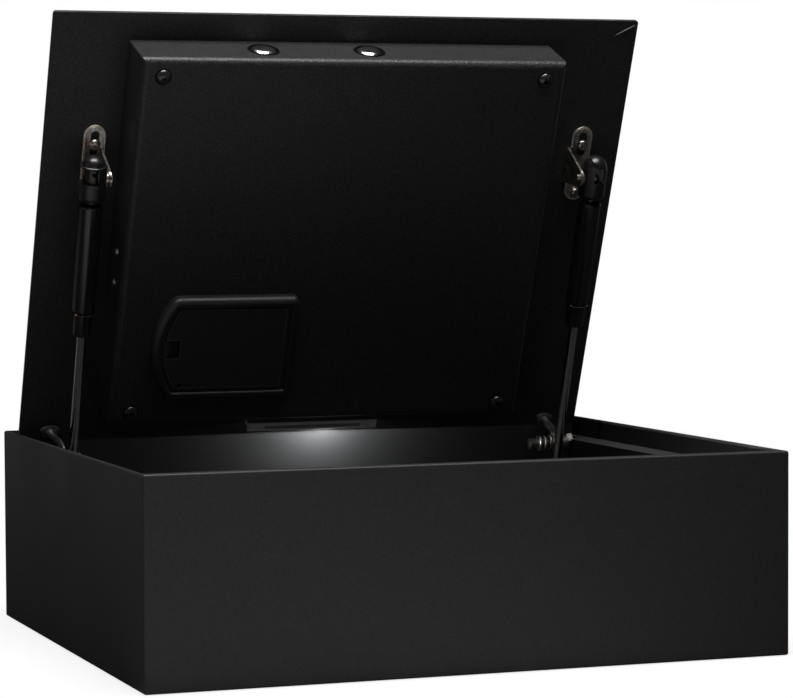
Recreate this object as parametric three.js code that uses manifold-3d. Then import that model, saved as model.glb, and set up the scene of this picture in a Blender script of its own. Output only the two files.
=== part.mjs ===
// Home safe with a top-opening lid on two gas struts, shown with the lid held open.
// Millimetres, +Z up, front towards -Y. The origin is the centre of the underside of the body.
import * as THREE from 'three';
import { mergeVertices } from 'three/addons/utils/BufferGeometryUtils.js';
import Module from 'manifold-3d';

const wasm = await Module();
wasm.setup();

// Steel body
const bodyWidth = 400;
const bodyDepth = 350;
const bodyHeight = 123;
const wall = 2;
const edgeRadius = 1.5;
const lipDepth = 7;
const anchorHoleRadius = 5;
const anchorInset = 60;
const matThickness = 3;
const matGap = 4;

// Clearances
const seat = 0.3;
const runningGap = 0.3;
const screwHoleGap = 0.4;

// Lid and its pivot
const lidThickness = 5;
const lidSideGap = 1.1;
const lidFrontGap = 1;
const lidSwingGap = 0.8;
const lidEdgeRadius = 0.8;
const openAngle = THREE.MathUtils.degToRad(68);
const pivotToBack = 37;
const pivotDrop = 12.5;

// Lock case under the lid
const caseLeftMargin = 50.6;
const caseRightMargin = 63.2;
const caseLength = 250;
const caseDepth = 35;
const caseSheet = 1.5;
const caseEdgeRadius = 2;
const caseFront = 18;
const caseScrewInset = 12.8;
const caseScrewFrontInset = 11.5;
const caseScrewRearInset = 9;
const postRadius = 4;

// Button head screws of the case, and the pan head screws of the strut brackets
const caseScrewHeadRadius = 4.75;
const caseScrewHeadHeight = 2.8;
const caseScrewShankRadius = 2.4;
const caseScrewShankLength = 8;
const caseScrewSocket = 1.6;
const panHeadRadius = 4;
const panHeadHeight = 2.4;
const panShankRadius = 2;
const panShankLength = 5.5;
const sideScrewRadius = 2.2;
const sideScrewHeight = 1.2;
const sideScrewFirst = 134.8;
const sideScrewPitch = 20.9;
const sideScrewDepth = 19;

// Locking bolts, their carriage and its drive
const boltRadius = 9;
const boltSpacing = 70.4;
const boltMiddle = -29.6;
const boltDepth = 16.5;
const boltTipDome = 1.4;
const boltLength = 42;
const bushWall = 1.5;
const bushFlange = 2.5;
const bushLength = 9;
const carriageThickness = 8;
const carriageHeight = 16;
const carriageOverhang = 5;
const rackWidth = 7;
const rackThickness = 5;
const rackLength = 46;
const gearModule = 1;
const pinionTeeth = 12;
const toothShare = 0.38;
const motorRadius = 13;
const motorShaftRadius = 2;
const boardWidth = 84;
const boardLength = 96;
const boardThickness = 1.6;
const boardStandoff = 6;
const boardSideGap = 14;
const boardRearGap = 26;
const boardFootInset = 5;
const boardFootRadius = 3;
const boardParts = [
  { x: 30, y: 34, width: 18, length: 18, height: 1.8 },
  { x: 8, y: 60, width: 16, length: 12, height: 8.8 },
  { x: 56, y: 8, width: 20, length: 7, height: 5.8 },
];
const buzzer = { x: 62, y: 72, radius: 6, height: 6.8 };

// Battery compartment in the case's face
const bezelWidth = 96;
const bezelLength = 70.6;
const bezelHeight = 7;
const bezelRim = 7;
const bezelArcRadius = 46;
const bezelCornerRadius = 4;
const bezelLeftInset = 21.7;
const bezelFrontInset = 158.7;
const bezelRound = 3;
const doorGap = 0.5;
const doorThickness = 2;
const doorRecess = 1;
const notchWidth = 12.5;
const notchDepth = 10.7;
const cellRadius = 7.2;
const cellLength = 50.5;
const cellGap = 0.5;
const cellCount = 4;
const trayWall = 1.5;

// Light bar behind the case
const lightWidth = 91.3;
const lightLength = 13;
const lightHeight = 7;
const lightMiddle = 2;
const lightSetback = 9;
const lightWall = 1.5;
const lightSole = 0.6;
const lightEnd = 6;
const lensLength = 1.6;
const lensWidth = 12;
const lensOffset = 8;

// Gas struts
const strutInset = 30;
const strutPitch = 100.5;
const strutStandoff = 26;
const strutExtended = 225;
const strutLean = THREE.MathUtils.degToRad(18.6);
const ballRadius = 4.5;
const ballNeckRadius = 2.5;
const socketRadius = 7.4;
const socketAbove = 14.8;
const socketBelow = 14.2;
const tubeRadius = 7.5;
const tubeWall = 1.2;
const tubeStart = 15.6;
const tubeLength = 72.3;
const capRadius = 6.1;
const capLength = 16.2;
const rodRadius = 3;
const rodInside = 12;
const studFlangeRadius = 6;
const studShankRadius = 2.5;
const studNutRadius = 4.6;
const studNutLength = 4;
const studSideGap = 0.5;

// Brackets that carry the struts' upper balls
const bracketInset = 33.5;
const bracketWidth = 15;
const bracketLength = 52;
const bracketThickness = 2;
const bracketFront = 73.9;
const bracketScrewFront = 12.5;
const bracketScrewRear = 46.7;
const slotLength = 15;
const tabThickness = 1.6;
const tabTipRadius = 6;
const tabFoot = 24;

// Side rails, which carry the lid's pivots and the struts' lower balls
const railWidth = 18.5;
const railDrop = 13;
const railHeight = 50;
const railSheet = 2;
const railRearGap = 28;
const bossRadius = 9;
const bossThickness = 6.5;

// Pivot hardware on the pins
const pinRadius = 3;
const shoulderRadius = 3.8;
const washerRadius = 6;
const washerThickness = 1.5;
const nutRadius = 6.5;
const nutLength = 7;
const threadLength = 9;
const eyeRadius = 6.5;
const eyeWidth = 6;
const armFootRadius = 6;
const armFootHeight = 3.5;
const armStemRadius = 2.6;
const armFootBack = 15.2;
const armReach = 5;
const armFootInset = { left: 24, right: 26 };

// Strike that the bolts enter
const strikeSheet = 2;
const strikeSetback = 13;
const strikeMargin = 14;
const strikeHoleGap = 1.5;
const strikeLidGap = 2;

// Keypad and override lock on the lid's outer face
const keypadWidth = 118;
const keypadLength = 66;
const keypadHeight = 2.6;
const keypadFront = 34;
const keyLockRadius = 7;
const keypadMiddle = -6.3;
const keyLockOffset = 50.3;
const keyLockSetback = 33;
const keyLockLength = 22;
const keyLockCam = 11;

// Values that follow from the driving dimensions
const pivotY = bodyDepth / 2 - wall - pivotToBack;
const pivotZ = bodyHeight - lidThickness - pivotDrop;
const lidFrontY = -bodyDepth / 2 + lipDepth + lidFrontGap;
const pivotInset = pivotY - lidFrontY;
const lidWidth = bodyWidth - 2 * (wall + lidSideGap);
const lidTail = Math.sqrt((pivotToBack - lidSwingGap) ** 2 - (pivotDrop + lidThickness) ** 2);
const lidLength = pivotInset + lidTail;
const caseRear = caseFront + caseLength;
const caseLeft = -lidWidth / 2 + caseLeftMargin;
const caseRight = lidWidth / 2 - caseRightMargin;
const strutX = bodyWidth / 2 - strutInset;
const bracketX = bodyWidth / 2 - bracketInset;
const armFootX = { left: armFootInset.left - bodyWidth / 2, right: bodyWidth / 2 - armFootInset.right };
const keyLockX = keypadMiddle + keyLockOffset;
const railInner = bodyWidth / 2 - wall - railWidth;
const railTop = bodyHeight - railDrop;
const railBottom = railTop - railHeight;
const bossInner = bodyWidth / 2 - wall - seat - bossThickness;

// Materials
const paint = (color, roughness) => new THREE.MeshStandardMaterial({ color, roughness, metalness: 0.1 });
const metal = (color, roughness) => new THREE.MeshStandardMaterial({ color, roughness, metalness: 1 });
const blackPaint = paint(0x141416, 0.5);
const blackSteel = metal(0x1a1a1c, 0.35);
const blackPlastic = paint(0x0e0e10, 0.45);
const chrome = metal(0xd8d8da, 0.12);
const zinc = metal(0xb4ada0, 0.3);
const foam = paint(0x1b1b1d, 0.95);
const greenBoard = paint(0x1f5a35, 0.5);
const clearLens = paint(0xe8edf2, 0.25);
const batteryWrap = paint(0x3a3d42, 0.4);

// Turns a closed geometry into a solid that can be joined and cut
function solid(geometry) {
  const plain = geometry.index ? geometry.clone() : geometry;
  for (const name of Object.keys(plain.attributes)) {
    if (name !== 'position') plain.deleteAttribute(name);
  }
  const merged = mergeVertices(plain, 1e-4);
  return new wasm.Manifold(new wasm.Mesh({
    numProp: 3,
    vertProperties: new Float32Array(merged.attributes.position.array),
    triVerts: new Uint32Array(merged.index.array),
  }));
}

// Hangs a named piece in a group
function piece(parent, name, shape, material) {
  const made = shape.getMesh();
  const geometry = new THREE.BufferGeometry();
  geometry.setAttribute('position', new THREE.BufferAttribute(new Float32Array(made.vertProperties), 3));
  geometry.setIndex(new THREE.BufferAttribute(new Uint32Array(made.triVerts), 1));
  geometry.computeVertexNormals();
  const mesh = new THREE.Mesh(geometry, material);
  mesh.name = name;
  parent.add(mesh);
  return mesh;
}

const join = (...shapes) => shapes.reduce((all, shape) => all.add(shape));
const cut = (shape, ...tools) => tools.reduce((rest, tool) => rest.subtract(tool), shape);

// A block between two corners
function block(x0, x1, y0, y1, z0, z1) {
  const geometry = new THREE.BoxGeometry(x1 - x0, y1 - y0, z1 - z0);
  geometry.translate((x0 + x1) / 2, (y0 + y1) / 2, (z0 + z1) / 2);
  return solid(geometry);
}

// A round bar between two points, tapered if the second radius differs
function bar(from, to, radius, sides = 24, endRadius = radius) {
  const start = new THREE.Vector3(...from);
  const end = new THREE.Vector3(...to);
  const along = end.clone().sub(start);
  const geometry = new THREE.CylinderGeometry(endRadius, radius, along.length(), sides);
  geometry.translate(0, along.length() / 2, 0);
  const turn = new THREE.Quaternion().setFromUnitVectors(new THREE.Vector3(0, 1, 0), along.normalize());
  geometry.applyQuaternion(turn);
  geometry.translate(...from);
  return solid(geometry);
}

function ball(centre, radius, sides = 16) {
  const geometry = new THREE.SphereGeometry(radius, sides, sides / 2);
  geometry.translate(...centre);
  return solid(geometry);
}

// A turned shape about +Z: the profile is a list of [radius, height] that starts and ends on the axis
function turned(profile, sides = 32) {
  const geometry = new THREE.LatheGeometry(profile.map(([r, h]) => new THREE.Vector2(r, h)), sides);
  geometry.rotateX(Math.PI / 2);
  return solid(geometry);
}

// An outline in X and Y, raised from one height to another, with rounded edges if a bevel is given
function plate(outline, z0, z1, bevel = 0, curveSegments = 6) {
  const geometry = new THREE.ExtrudeGeometry(outline, {
    depth: z1 - z0 - 2 * bevel,
    bevelEnabled: bevel > 0,
    bevelSize: bevel,
    bevelOffset: -bevel,
    bevelThickness: bevel,
    bevelSegments: 3,
    curveSegments,
  });
  geometry.translate(0, 0, z0 + bevel);
  return solid(geometry);
}

function roundedRectangle(x0, x1, y0, y1, radius) {
  const shape = new THREE.Shape();
  shape.moveTo(x0 + radius, y0);
  shape.lineTo(x1 - radius, y0);
  shape.absarc(x1 - radius, y0 + radius, radius, -Math.PI / 2, 0);
  shape.lineTo(x1, y1 - radius);
  shape.absarc(x1 - radius, y1 - radius, radius, 0, Math.PI / 2);
  shape.lineTo(x0 + radius, y1);
  shape.absarc(x0 + radius, y1 - radius, radius, Math.PI / 2, Math.PI);
  shape.lineTo(x0, y0 + radius);
  shape.absarc(x0 + radius, y0 + radius, radius, Math.PI, 1.5 * Math.PI);
  return shape;
}

// A slot or pill along Y
function pill(x, y0, y1, radius) {
  const shape = new THREE.Shape();
  shape.absarc(x, y1 - radius, radius, 0, Math.PI);
  shape.absarc(x, y0 + radius, radius, Math.PI, 2 * Math.PI);
  return shape;
}

// Steel body: floor and four walls, with a lip along the top of the front wall
function bodyShell() {
  const halfWidth = bodyWidth / 2;
  const halfDepth = bodyDepth / 2;
  const outside = roundedRectangle(-halfWidth, halfWidth, -halfDepth, halfDepth, edgeRadius + 0.5);
  const inner = halfWidth - wall;
  const cavity = block(-inner, inner, -halfDepth + wall, halfDepth - wall, wall, bodyHeight - wall);
  const mouth = block(-inner, inner, -halfDepth + lipDepth, halfDepth - wall, wall, bodyHeight + wall);
  const anchors = [-1, 1].flatMap((sx) => [-1, 1].map((sy) => {
    const x = sx * (halfWidth - anchorInset);
    const y = sy * (halfDepth - anchorInset);
    return bar([x, y, -wall], [x, y, 2 * wall], anchorHoleRadius, 20);
  }));
  return cut(plate(outside, 0, bodyHeight, edgeRadius), cavity, mouth, ...anchors);
}

function floorMat() {
  const x = bodyWidth / 2 - wall - matGap;
  const y = bodyDepth / 2 - wall - matGap;
  const bottom = wall + seat;
  return plate(roundedRectangle(-x, x, -y, y, 6), bottom, bottom + matThickness, 0.6);
}

// Side rail on the right: a channel along the wall, with a boss for the pivot pin at its rear end
function sideRail(lowerBall) {
  const outer = bodyWidth / 2 - wall - seat;
  const front = -bodyDepth / 2 + wall + strikeSetback + strikeSheet;
  const rear = pivotY - railRearGap;
  const tail = pivotY + bossRadius / 2;
  const top = block(railInner, outer, front, rear, railTop - railSheet, railTop);
  const slant = new THREE.Shape([
    new THREE.Vector2(railInner, rear),
    new THREE.Vector2(outer, rear),
    new THREE.Vector2(outer, pivotY - nutRadius),
    new THREE.Vector2(outer - railSheet, pivotY - nutRadius),
  ]);
  const slantTop = plate(slant, railTop - railSheet, railTop);
  const web = block(railInner, railInner + railSheet, front, rear, railBottom, railTop);
  const foot = block(railInner, outer, front, lowerBall.y + bossRadius, railBottom, railBottom + railSheet);
  const cheek = block(railInner, railInner + railSheet, rear - railSheet, lowerBall.y + bossRadius,
    railBottom, lowerBall.z + bossRadius);
  const back = block(outer - railSheet, outer, front, tail, railBottom, railTop);
  const boss = bar([bossInner, pivotY, pivotZ], [outer, pivotY, pivotZ], bossRadius);
  const overBoss = block(bossInner - 1, outer + 1, pivotY - 2 * bossRadius, pivotY + 2 * bossRadius,
    railTop, railTop + bossRadius);
  const pinHole = bar([bossInner - 1, pivotY, pivotZ], [outer - 1, pivotY, pivotZ], pinRadius + seat);
  const studHole = bar([railInner - 1, lowerBall.y, lowerBall.z],
    [railInner + railSheet + 1, lowerBall.y, lowerBall.z], studShankRadius + seat, 16);
  return cut(join(top, slantTop, web, foot, cheek, back, boss), overBoss, pinHole, studHole);
}

// Strike: a shelf on the front wall with a web that the bolts pass through
function strikePlate() {
  const wallFace = -bodyDepth / 2 + wall + seat;
  const web = wallFace + strikeSetback;
  const boltZ = bodyHeight - lidThickness - boltDepth;
  const halfLength = boltSpacing / 2 + boltRadius + strikeMargin;
  const shelfZ = boltZ - boltRadius - 4;
  const top = bodyHeight - lidThickness - strikeLidGap;
  const x0 = boltMiddle - halfLength;
  const x1 = boltMiddle + halfLength;
  const shelf = block(x0, x1, wallFace, web, shelfZ, shelfZ + strikeSheet);
  const upright = block(x0, x1, web - strikeSheet, web, shelfZ, top);
  const foot = block(x0, x1, wallFace, wallFace + strikeSheet, shelfZ - 12, shelfZ + strikeSheet);
  const holes = [-1, 1].map((side) => {
    const x = boltMiddle + side * boltSpacing / 2;
    return bar([x, web - 2 * strikeSheet, boltZ], [x, web + strikeSheet, boltZ], boltRadius + strikeHoleGap);
  });
  return cut(join(shelf, upright, foot), ...holes);
}

// Where things sit along a pivot pin. side is +1 on the right and -1 on the left
function pinStations(side) {
  const name = side > 0 ? 'right' : 'left';
  const eye = Math.abs(armFootX[name] + armReach);
  const washerOuter = eye - eyeWidth / 2 - seat;
  const threadStart = washerOuter - washerThickness - seat;
  const nutOuter = bossInner - seat;
  return { eye, washerOuter, threadStart, nutOuter, nutInner: nutOuter - nutLength };
}

function pivotPin(side) {
  const at = pinStations(side);
  const p = (x) => [side * x, pivotY, pivotZ];
  const shaft = bar(p(at.threadStart - threadLength), p(bodyWidth / 2 - wall - 2 * seat - 1.2), pinRadius);
  const shoulder = bar(p(at.washerOuter + seat), p(at.nutInner - seat), shoulderRadius);
  return join(shaft, shoulder);
}

function pivotWasher(side) {
  const at = pinStations(side);
  const p = (x) => [side * x, pivotY, pivotZ];
  const ring = bar(p(at.washerOuter - washerThickness), p(at.washerOuter), washerRadius);
  const hole = bar(p(at.washerOuter - washerThickness - 1), p(at.washerOuter + 1), pinRadius + seat);
  return cut(ring, hole);
}

// Nut with a cone towards the lid's arm
function pivotNut(side) {
  const at = pinStations(side);
  const p = (x) => [side * x, pivotY, pivotZ];
  const hexStart = at.nutInner + nutLength * 0.45;
  const hex = bar(p(hexStart), p(at.nutOuter), nutRadius, 6);
  const cone = bar(p(at.nutInner), p(hexStart), nutRadius * 0.62, 24, nutRadius * 0.86);
  const hole = bar(p(at.nutInner - 1), p(at.nutOuter + 1), pinRadius + seat);
  return cut(join(hex, cone), hole);
}

// Lower stud on the rail's web: a flange beside the strut's lower socket, with its nut behind the web
function lowerStud(side, lowerBall) {
  const face = railInner - seat;
  const back = railInner + railSheet + seat;
  const p = (x) => [side * x, lowerBall.y, lowerBall.z];
  const flange = bar(p(face), p(strutX + socketRadius + studSideGap), studFlangeRadius, 24);
  const shank = bar(p(face - 0.5), p(back + studNutLength), studShankRadius, 16);
  const nut = bar(p(back), p(back + studNutLength), studNutRadius, 6);
  return join(flange, shank, nut);
}

// Lid plate with the posts that the lock case is screwed to
function lidPlate() {
  const half = lidWidth / 2;
  const slab = plate(roundedRectangle(-half, half, 0, lidLength, 1.5), 0, lidThickness, lidEdgeRadius);
  const postEnd = -(caseDepth - caseSheet - seat);
  const posts = caseScrewPlaces().map(([x, y]) => bar([x, y, 0.5], [x, y, postEnd], postRadius, 20));
  const threads = caseScrewPlaces().map(([x, y]) => {
    const depth = caseScrewShankLength + seat;
    return bar([x, y, postEnd + depth], [x, y, postEnd - 1], caseScrewShankRadius + screwHoleGap, 16);
  });
  const taps = bracketScrewPlaces().map(([x, y]) => bar([x, y, lidThickness - 1], [x, y, -1],
    panShankRadius + screwHoleGap, 16));
  const lock = bar([keyLockX, keyLockY(), lidThickness + 1], [keyLockX, keyLockY(), -1],
    keyLockRadius + runningGap);
  return cut(join(slab, ...posts), ...threads, ...taps, lock);
}

function keyLockY() {
  return keypadFront + keyLockSetback;
}

// Screw places on the case's face: front pair, then rear pair
function caseScrewPlaces() {
  const xs = [caseLeft + caseScrewInset, caseRight - caseScrewInset];
  const front = xs.map((x) => [x, caseFront + caseScrewFrontInset]);
  const rear = xs.map((x) => [x, caseRear - caseScrewRearInset]);
  return [...front, ...rear];
}

// Battery bezel's outline, grown or shrunk by an offset: straight on three sides, bowed on the left
function bezelOutline(offset) {
  const x0 = caseLeft + bezelLeftInset - offset;
  const x1 = caseLeft + bezelLeftInset + bezelWidth + offset;
  const middle = caseFront + bezelFrontInset + bezelLength / 2;
  const half = bezelLength / 2 + offset;
  const arcRadius = bezelArcRadius + offset;
  const radius = Math.max(bezelCornerRadius + offset, 0.8);
  const bow = Math.asin(half / arcRadius);
  const shape = new THREE.Shape();
  shape.moveTo(x0 + arcRadius * (1 - Math.cos(bow)), middle - half);
  shape.lineTo(x1 - radius, middle - half);
  shape.absarc(x1 - radius, middle - half + radius, radius, -Math.PI / 2, 0);
  shape.lineTo(x1, middle + half - radius);
  shape.absarc(x1 - radius, middle + half - radius, radius, 0, Math.PI / 2);
  shape.lineTo(x0 + arcRadius * (1 - Math.cos(bow)), middle + half);
  shape.absarc(x0 + arcRadius, middle, arcRadius, Math.PI - bow, Math.PI + bow);
  return shape;
}

// The battery tray's inner corners, and where its cells lie
function traySize() {
  const rowWidth = cellCount * (2 * cellRadius + cellGap) + cellGap;
  const right = caseLeft + bezelLeftInset + bezelWidth - bezelRim - 4;
  const middle = caseFront + bezelFrontInset + bezelLength / 2;
  const half = cellLength / 2 + 1.5;
  const floor = -(caseDepth - caseSheet - 2 * cellRadius - cellGap - seat);
  return { x0: right - rowWidth, x1: right, y0: middle - half, y1: middle + half, floor };
}

// Lock case: a folded cover, open towards the lid
function lockCase() {
  const outline = roundedRectangle(caseLeft, caseRight, caseFront, caseRear, caseEdgeRadius + 0.5);
  const outside = plate(outline, -caseDepth, caseEdgeRadius * 2, caseEdgeRadius);
  const above = block(caseLeft - 1, caseRight + 1, caseFront - 1, caseRear + 1, -seat, caseEdgeRadius * 2 + 1);
  const inside = block(caseLeft + caseSheet, caseRight - caseSheet, caseFront + caseSheet,
    caseRear - caseSheet, -(caseDepth - caseSheet), caseEdgeRadius * 2 + 1);
  const screwHoles = caseScrewPlaces().map(([x, y]) => bar([x, y, -caseDepth - 1],
    [x, y, -caseDepth + 2 * caseSheet], caseScrewShankRadius + screwHoleGap, 16));
  const bushHoles = [-1, 1].map((side) => {
    const x = boltMiddle + side * boltSpacing / 2;
    return bar([x, caseFront - 1, -boltDepth], [x, caseFront + 2 * caseSheet, -boltDepth],
      boltRadius + runningGap + bushWall + seat);
  });
  const tray = traySize();
  const reach = trayWall + seat;
  const window = block(tray.x0 - reach, tray.x1 + reach, tray.y0 - reach, tray.y1 + reach,
    -caseDepth - 1, -caseDepth + 2 * caseSheet);
  const sideHoles = sideScrewPlaces().map((y) => bar([caseLeft - 1, y, -sideScrewDepth],
    [caseLeft + 2 * caseSheet, y, -sideScrewDepth], sideScrewRadius / 2 + screwHoleGap, 12));
  return cut(outside, above, inside, window, ...screwHoles, ...bushHoles, ...sideHoles);
}

// Button head screw with a hex socket, heading down from the case's face
function caseScrew(x, y) {
  const face = -caseDepth - seat;
  const head = [];
  const steps = 4;
  const rise = caseScrewHeadHeight - 0.5;
  for (let i = 0; i <= steps; i += 1) {
    const a = (i / steps) * 1.15;
    head.push([caseScrewHeadRadius * Math.cos(a), face - 0.5 - rise * Math.sin(a) / Math.sin(1.15)]);
  }
  const profile = [[0, face], [caseScrewHeadRadius, face], ...head, [0, face - caseScrewHeadHeight]];
  const body = turned(profile.reverse(), 20).translate([x, y, 0]);
  const shank = bar([x, y, face - 0.2], [x, y, face + caseScrewShankLength], caseScrewShankRadius, 16);
  const socket = bar([x, y, face - caseScrewHeadHeight - 1], [x, y, face - 1], caseScrewSocket, 6);
  return cut(join(body, shank), socket);
}

function sideScrewPlaces() {
  return [0, 1].map((i) => caseFront + sideScrewFirst + i * sideScrewPitch);
}

// Small screws on the case's left side, which hold a bracket of the lock inside
function caseSideScrew(y) {
  const face = caseLeft - seat;
  const head = bar([face, y, -sideScrewDepth], [face - sideScrewHeight, y, -sideScrewDepth],
    sideScrewRadius, 16, sideScrewRadius * 0.7);
  const shank = bar([face - 0.2, y, -sideScrewDepth], [face + 4 * caseSheet, y, -sideScrewDepth],
    sideScrewRadius / 2, 12);
  return join(head, shank);
}

// Bush in the case's front side that a bolt slides in
function boltBush(x) {
  const inner = boltRadius + runningGap;
  const outer = inner + bushWall;
  const start = caseFront - seat;
  const sleeve = bar([x, start, -boltDepth], [x, start + bushLength, -boltDepth], outer, 32);
  const flangeStart = caseFront + caseSheet + seat;
  const flange = bar([x, flangeStart, -boltDepth], [x, flangeStart + bushFlange, -boltDepth], outer + 2.5, 32);
  const bore = bar([x, start - 1, -boltDepth], [x, start + bushLength + 1, -boltDepth], inner, 32);
  return cut(join(sleeve, flange), bore);
}

// Locking bolt: a domed round bar
function lockingBolt(x) {
  const profile = [[0, boltLength], [boltRadius, boltLength], [boltRadius, 1.6], [boltRadius - 0.5, 0.5],
    [boltRadius - 1.8, -0.2], [boltRadius / 2, -boltTipDome * 0.8], [0, -boltTipDome]];
  return turned(profile.reverse(), 28).rotate([-90, 0, 0]).translate([x, caseFront, -boltDepth]);
}

// Teeth of the rack and the pinion share one trapezoid section
function toothHalfWidths() {
  const pitch = Math.PI * gearModule;
  return { root: pitch * toothShare * 0.72, tip: pitch * toothShare * 0.3 };
}

// Carriage behind the bolts, with a rack on its arm
function carriagePlaces() {
  const front = caseFront + boltLength + seat;
  const rackLeft = boltMiddle - rackWidth / 2;
  const rackPitchX = boltMiddle + rackWidth / 2 + gearModule;
  const pinionX = rackPitchX + gearModule * pinionTeeth / 2;
  const pinionY = front + carriageThickness + rackLength / 2 + gearModule;
  const rackZ = -boltDepth + rackThickness / 2;
  return { front, rackLeft, rackPitchX, pinionX, pinionY, rackZ };
}

function boltCarriage() {
  const at = carriagePlaces();
  const half = boltSpacing / 2 + boltRadius + carriageOverhang;
  const beam = block(boltMiddle - half, boltMiddle + half, at.front, at.front + carriageThickness,
    -boltDepth - carriageHeight / 2, -boltDepth + carriageHeight / 2);
  const rackStart = at.front + carriageThickness - 1;
  const arm = block(at.rackLeft, at.rackLeft + rackWidth, rackStart, rackStart + rackLength,
    at.rackZ - rackThickness, at.rackZ);
  const pitch = Math.PI * gearModule;
  const half2 = toothHalfWidths();
  const teeth = [];
  const face = at.rackLeft + rackWidth;
  for (let k = 1; (k + 0.5) * pitch < rackLength; k += 1) {
    const y = at.pinionY + (k - Math.floor(rackLength / pitch / 2) - 0.5) * pitch;
    if (y - pitch / 2 < rackStart || y + pitch / 2 > rackStart + rackLength) continue;
    const tooth = new THREE.Shape([
      new THREE.Vector2(face - 0.5, y - half2.root),
      new THREE.Vector2(face + 2 * gearModule - 0.35, y - half2.tip),
      new THREE.Vector2(face + 2 * gearModule - 0.35, y + half2.tip),
      new THREE.Vector2(face - 0.5, y + half2.root),
    ]);
    teeth.push(plate(tooth, at.rackZ - rackThickness, at.rackZ));
  }
  return join(beam, arm, ...teeth);
}

// Pinion on the motor's shaft
function drivePinion() {
  const at = carriagePlaces();
  const pitchRadius = gearModule * pinionTeeth / 2;
  const rootRadius = pitchRadius - 1.25 * gearModule;
  const tipRadius = pitchRadius + 0.8 * gearModule;
  const half = toothHalfWidths();
  const z0 = at.rackZ - rackThickness;
  let wheel = bar([0, 0, z0], [0, 0, at.rackZ], rootRadius, 24);
  for (let k = 0; k < pinionTeeth; k += 1) {
    const tooth = new THREE.Shape([
      new THREE.Vector2(rootRadius - 0.6, -half.root),
      new THREE.Vector2(tipRadius, -half.tip),
      new THREE.Vector2(tipRadius, half.tip),
      new THREE.Vector2(rootRadius - 0.6, half.root),
    ]);
    const turn = (k * 360) / pinionTeeth;
    wheel = wheel.add(plate(tooth, z0, at.rackZ).rotate([0, 0, turn]));
  }
  const bore = bar([0, 0, z0 - 1], [0, 0, at.rackZ + 1], motorShaftRadius + runningGap, 16);
  return cut(wheel, bore).translate([at.pinionX, at.pinionY, 0]);
}

// Flat gear motor that stands on the inside of the case's face
function lockMotor() {
  const at = carriagePlaces();
  const floor = -(caseDepth - caseSheet - seat);
  const top = at.rackZ - rackThickness - 1;
  const body = bar([at.pinionX, at.pinionY, floor], [at.pinionX, at.pinionY, top], motorRadius, 32);
  const shaft = bar([at.pinionX, at.pinionY, top - 1], [at.pinionX, at.pinionY, at.rackZ + 1],
    motorShaftRadius, 16);
  const can = block(at.pinionX + motorRadius / 2, at.pinionX + motorRadius * 2.4,
    at.pinionY - motorRadius * 0.7, at.pinionY + motorRadius * 0.7, floor, top - 1);
  return join(body, shaft, can);
}

// Control board on four feet, with its parts
function circuitBoard() {
  const x1 = caseRight - caseSheet - boardSideGap;
  const x0 = x1 - boardWidth;
  const y1 = caseRear - caseSheet - boardRearGap;
  const y0 = y1 - boardLength;
  const floor = -(caseDepth - caseSheet - seat);
  const z = floor + boardStandoff;
  const sheet = block(x0, x1, y0, y1, z, z + boardThickness);
  const xs = [x0 + boardFootInset, x1 - boardFootInset];
  const ys = [y0 + boardFootInset, y1 - boardFootInset];
  const feet = xs.flatMap((x) => ys.map((y) => bar([x, y, floor], [x, y, z + boardThickness / 2],
    boardFootRadius, 12)));
  const top = z + boardThickness / 2;
  const parts = boardParts.map(({ x, y, width, length, height }) => block(x0 + x, x0 + x + width, y0 + y,
    y0 + y + length, top, z + boardThickness + height));
  const sounder = [x0 + buzzer.x, y0 + buzzer.y];
  const buzzerCan = bar([...sounder, top], [...sounder, z + boardThickness + buzzer.height], buzzer.radius, 20);
  return join(sheet, ...feet, ...parts, buzzerCan);
}

// Battery bezel, moulded in one with the tray behind the case's face
function batteryBezel() {
  const base = -caseDepth - seat;
  const ring = plate(bezelOutline(0), base - bezelHeight, base + bezelRound, bezelRound, 8);
  const trim = block(caseLeft, caseRight, caseFront, caseRear, base, base + 2 * bezelRound);
  const opening = plate(bezelOutline(-bezelRim), base - bezelHeight - 1, base + 1, 0, 8);
  const ledge = doorRecess + doorThickness + doorGap;
  const floorPlate = plate(bezelOutline(-bezelRim + 0.5), base - bezelHeight + ledge, base, 0, 8);
  const tray = traySize();
  const left = caseLeft + bezelLeftInset + bezelRim;
  const middle = (tray.y0 + tray.y1) / 2;
  const latchPocket = block(left + 1, left + notchDepth, middle - notchWidth / 2 + 1,
    middle + notchWidth / 2 - 1, base - bezelHeight, base - 2);
  const rim = cut(ring, trim, opening);
  const shell = block(tray.x0 - trayWall, tray.x1 + trayWall, tray.y0 - trayWall, tray.y1 + trayWall,
    base - 1, tray.floor + trayWall);
  const wellCut = block(tray.x0, tray.x1, tray.y0, tray.y1, base - bezelHeight - 1, tray.floor);
  return cut(join(rim, floorPlate, shell), wellCut, latchPocket);
}

function batteryCell(index) {
  const tray = traySize();
  const middle = (tray.y0 + tray.y1) / 2;
  const x = tray.x0 + cellGap + cellRadius + index * (2 * cellRadius + cellGap);
  const z = tray.floor - cellRadius - seat;
  const way = index % 2 ? 1 : -1;
  const half = cellLength / 2;
  const can = bar([x, middle - way * half, z], [x, middle + way * (half - 1.2), z], cellRadius, 24);
  const nub = bar([x, middle + way * (half - 1.5), z], [x, middle + way * half, z], 2.6, 16);
  return join(can, nub);
}

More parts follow.
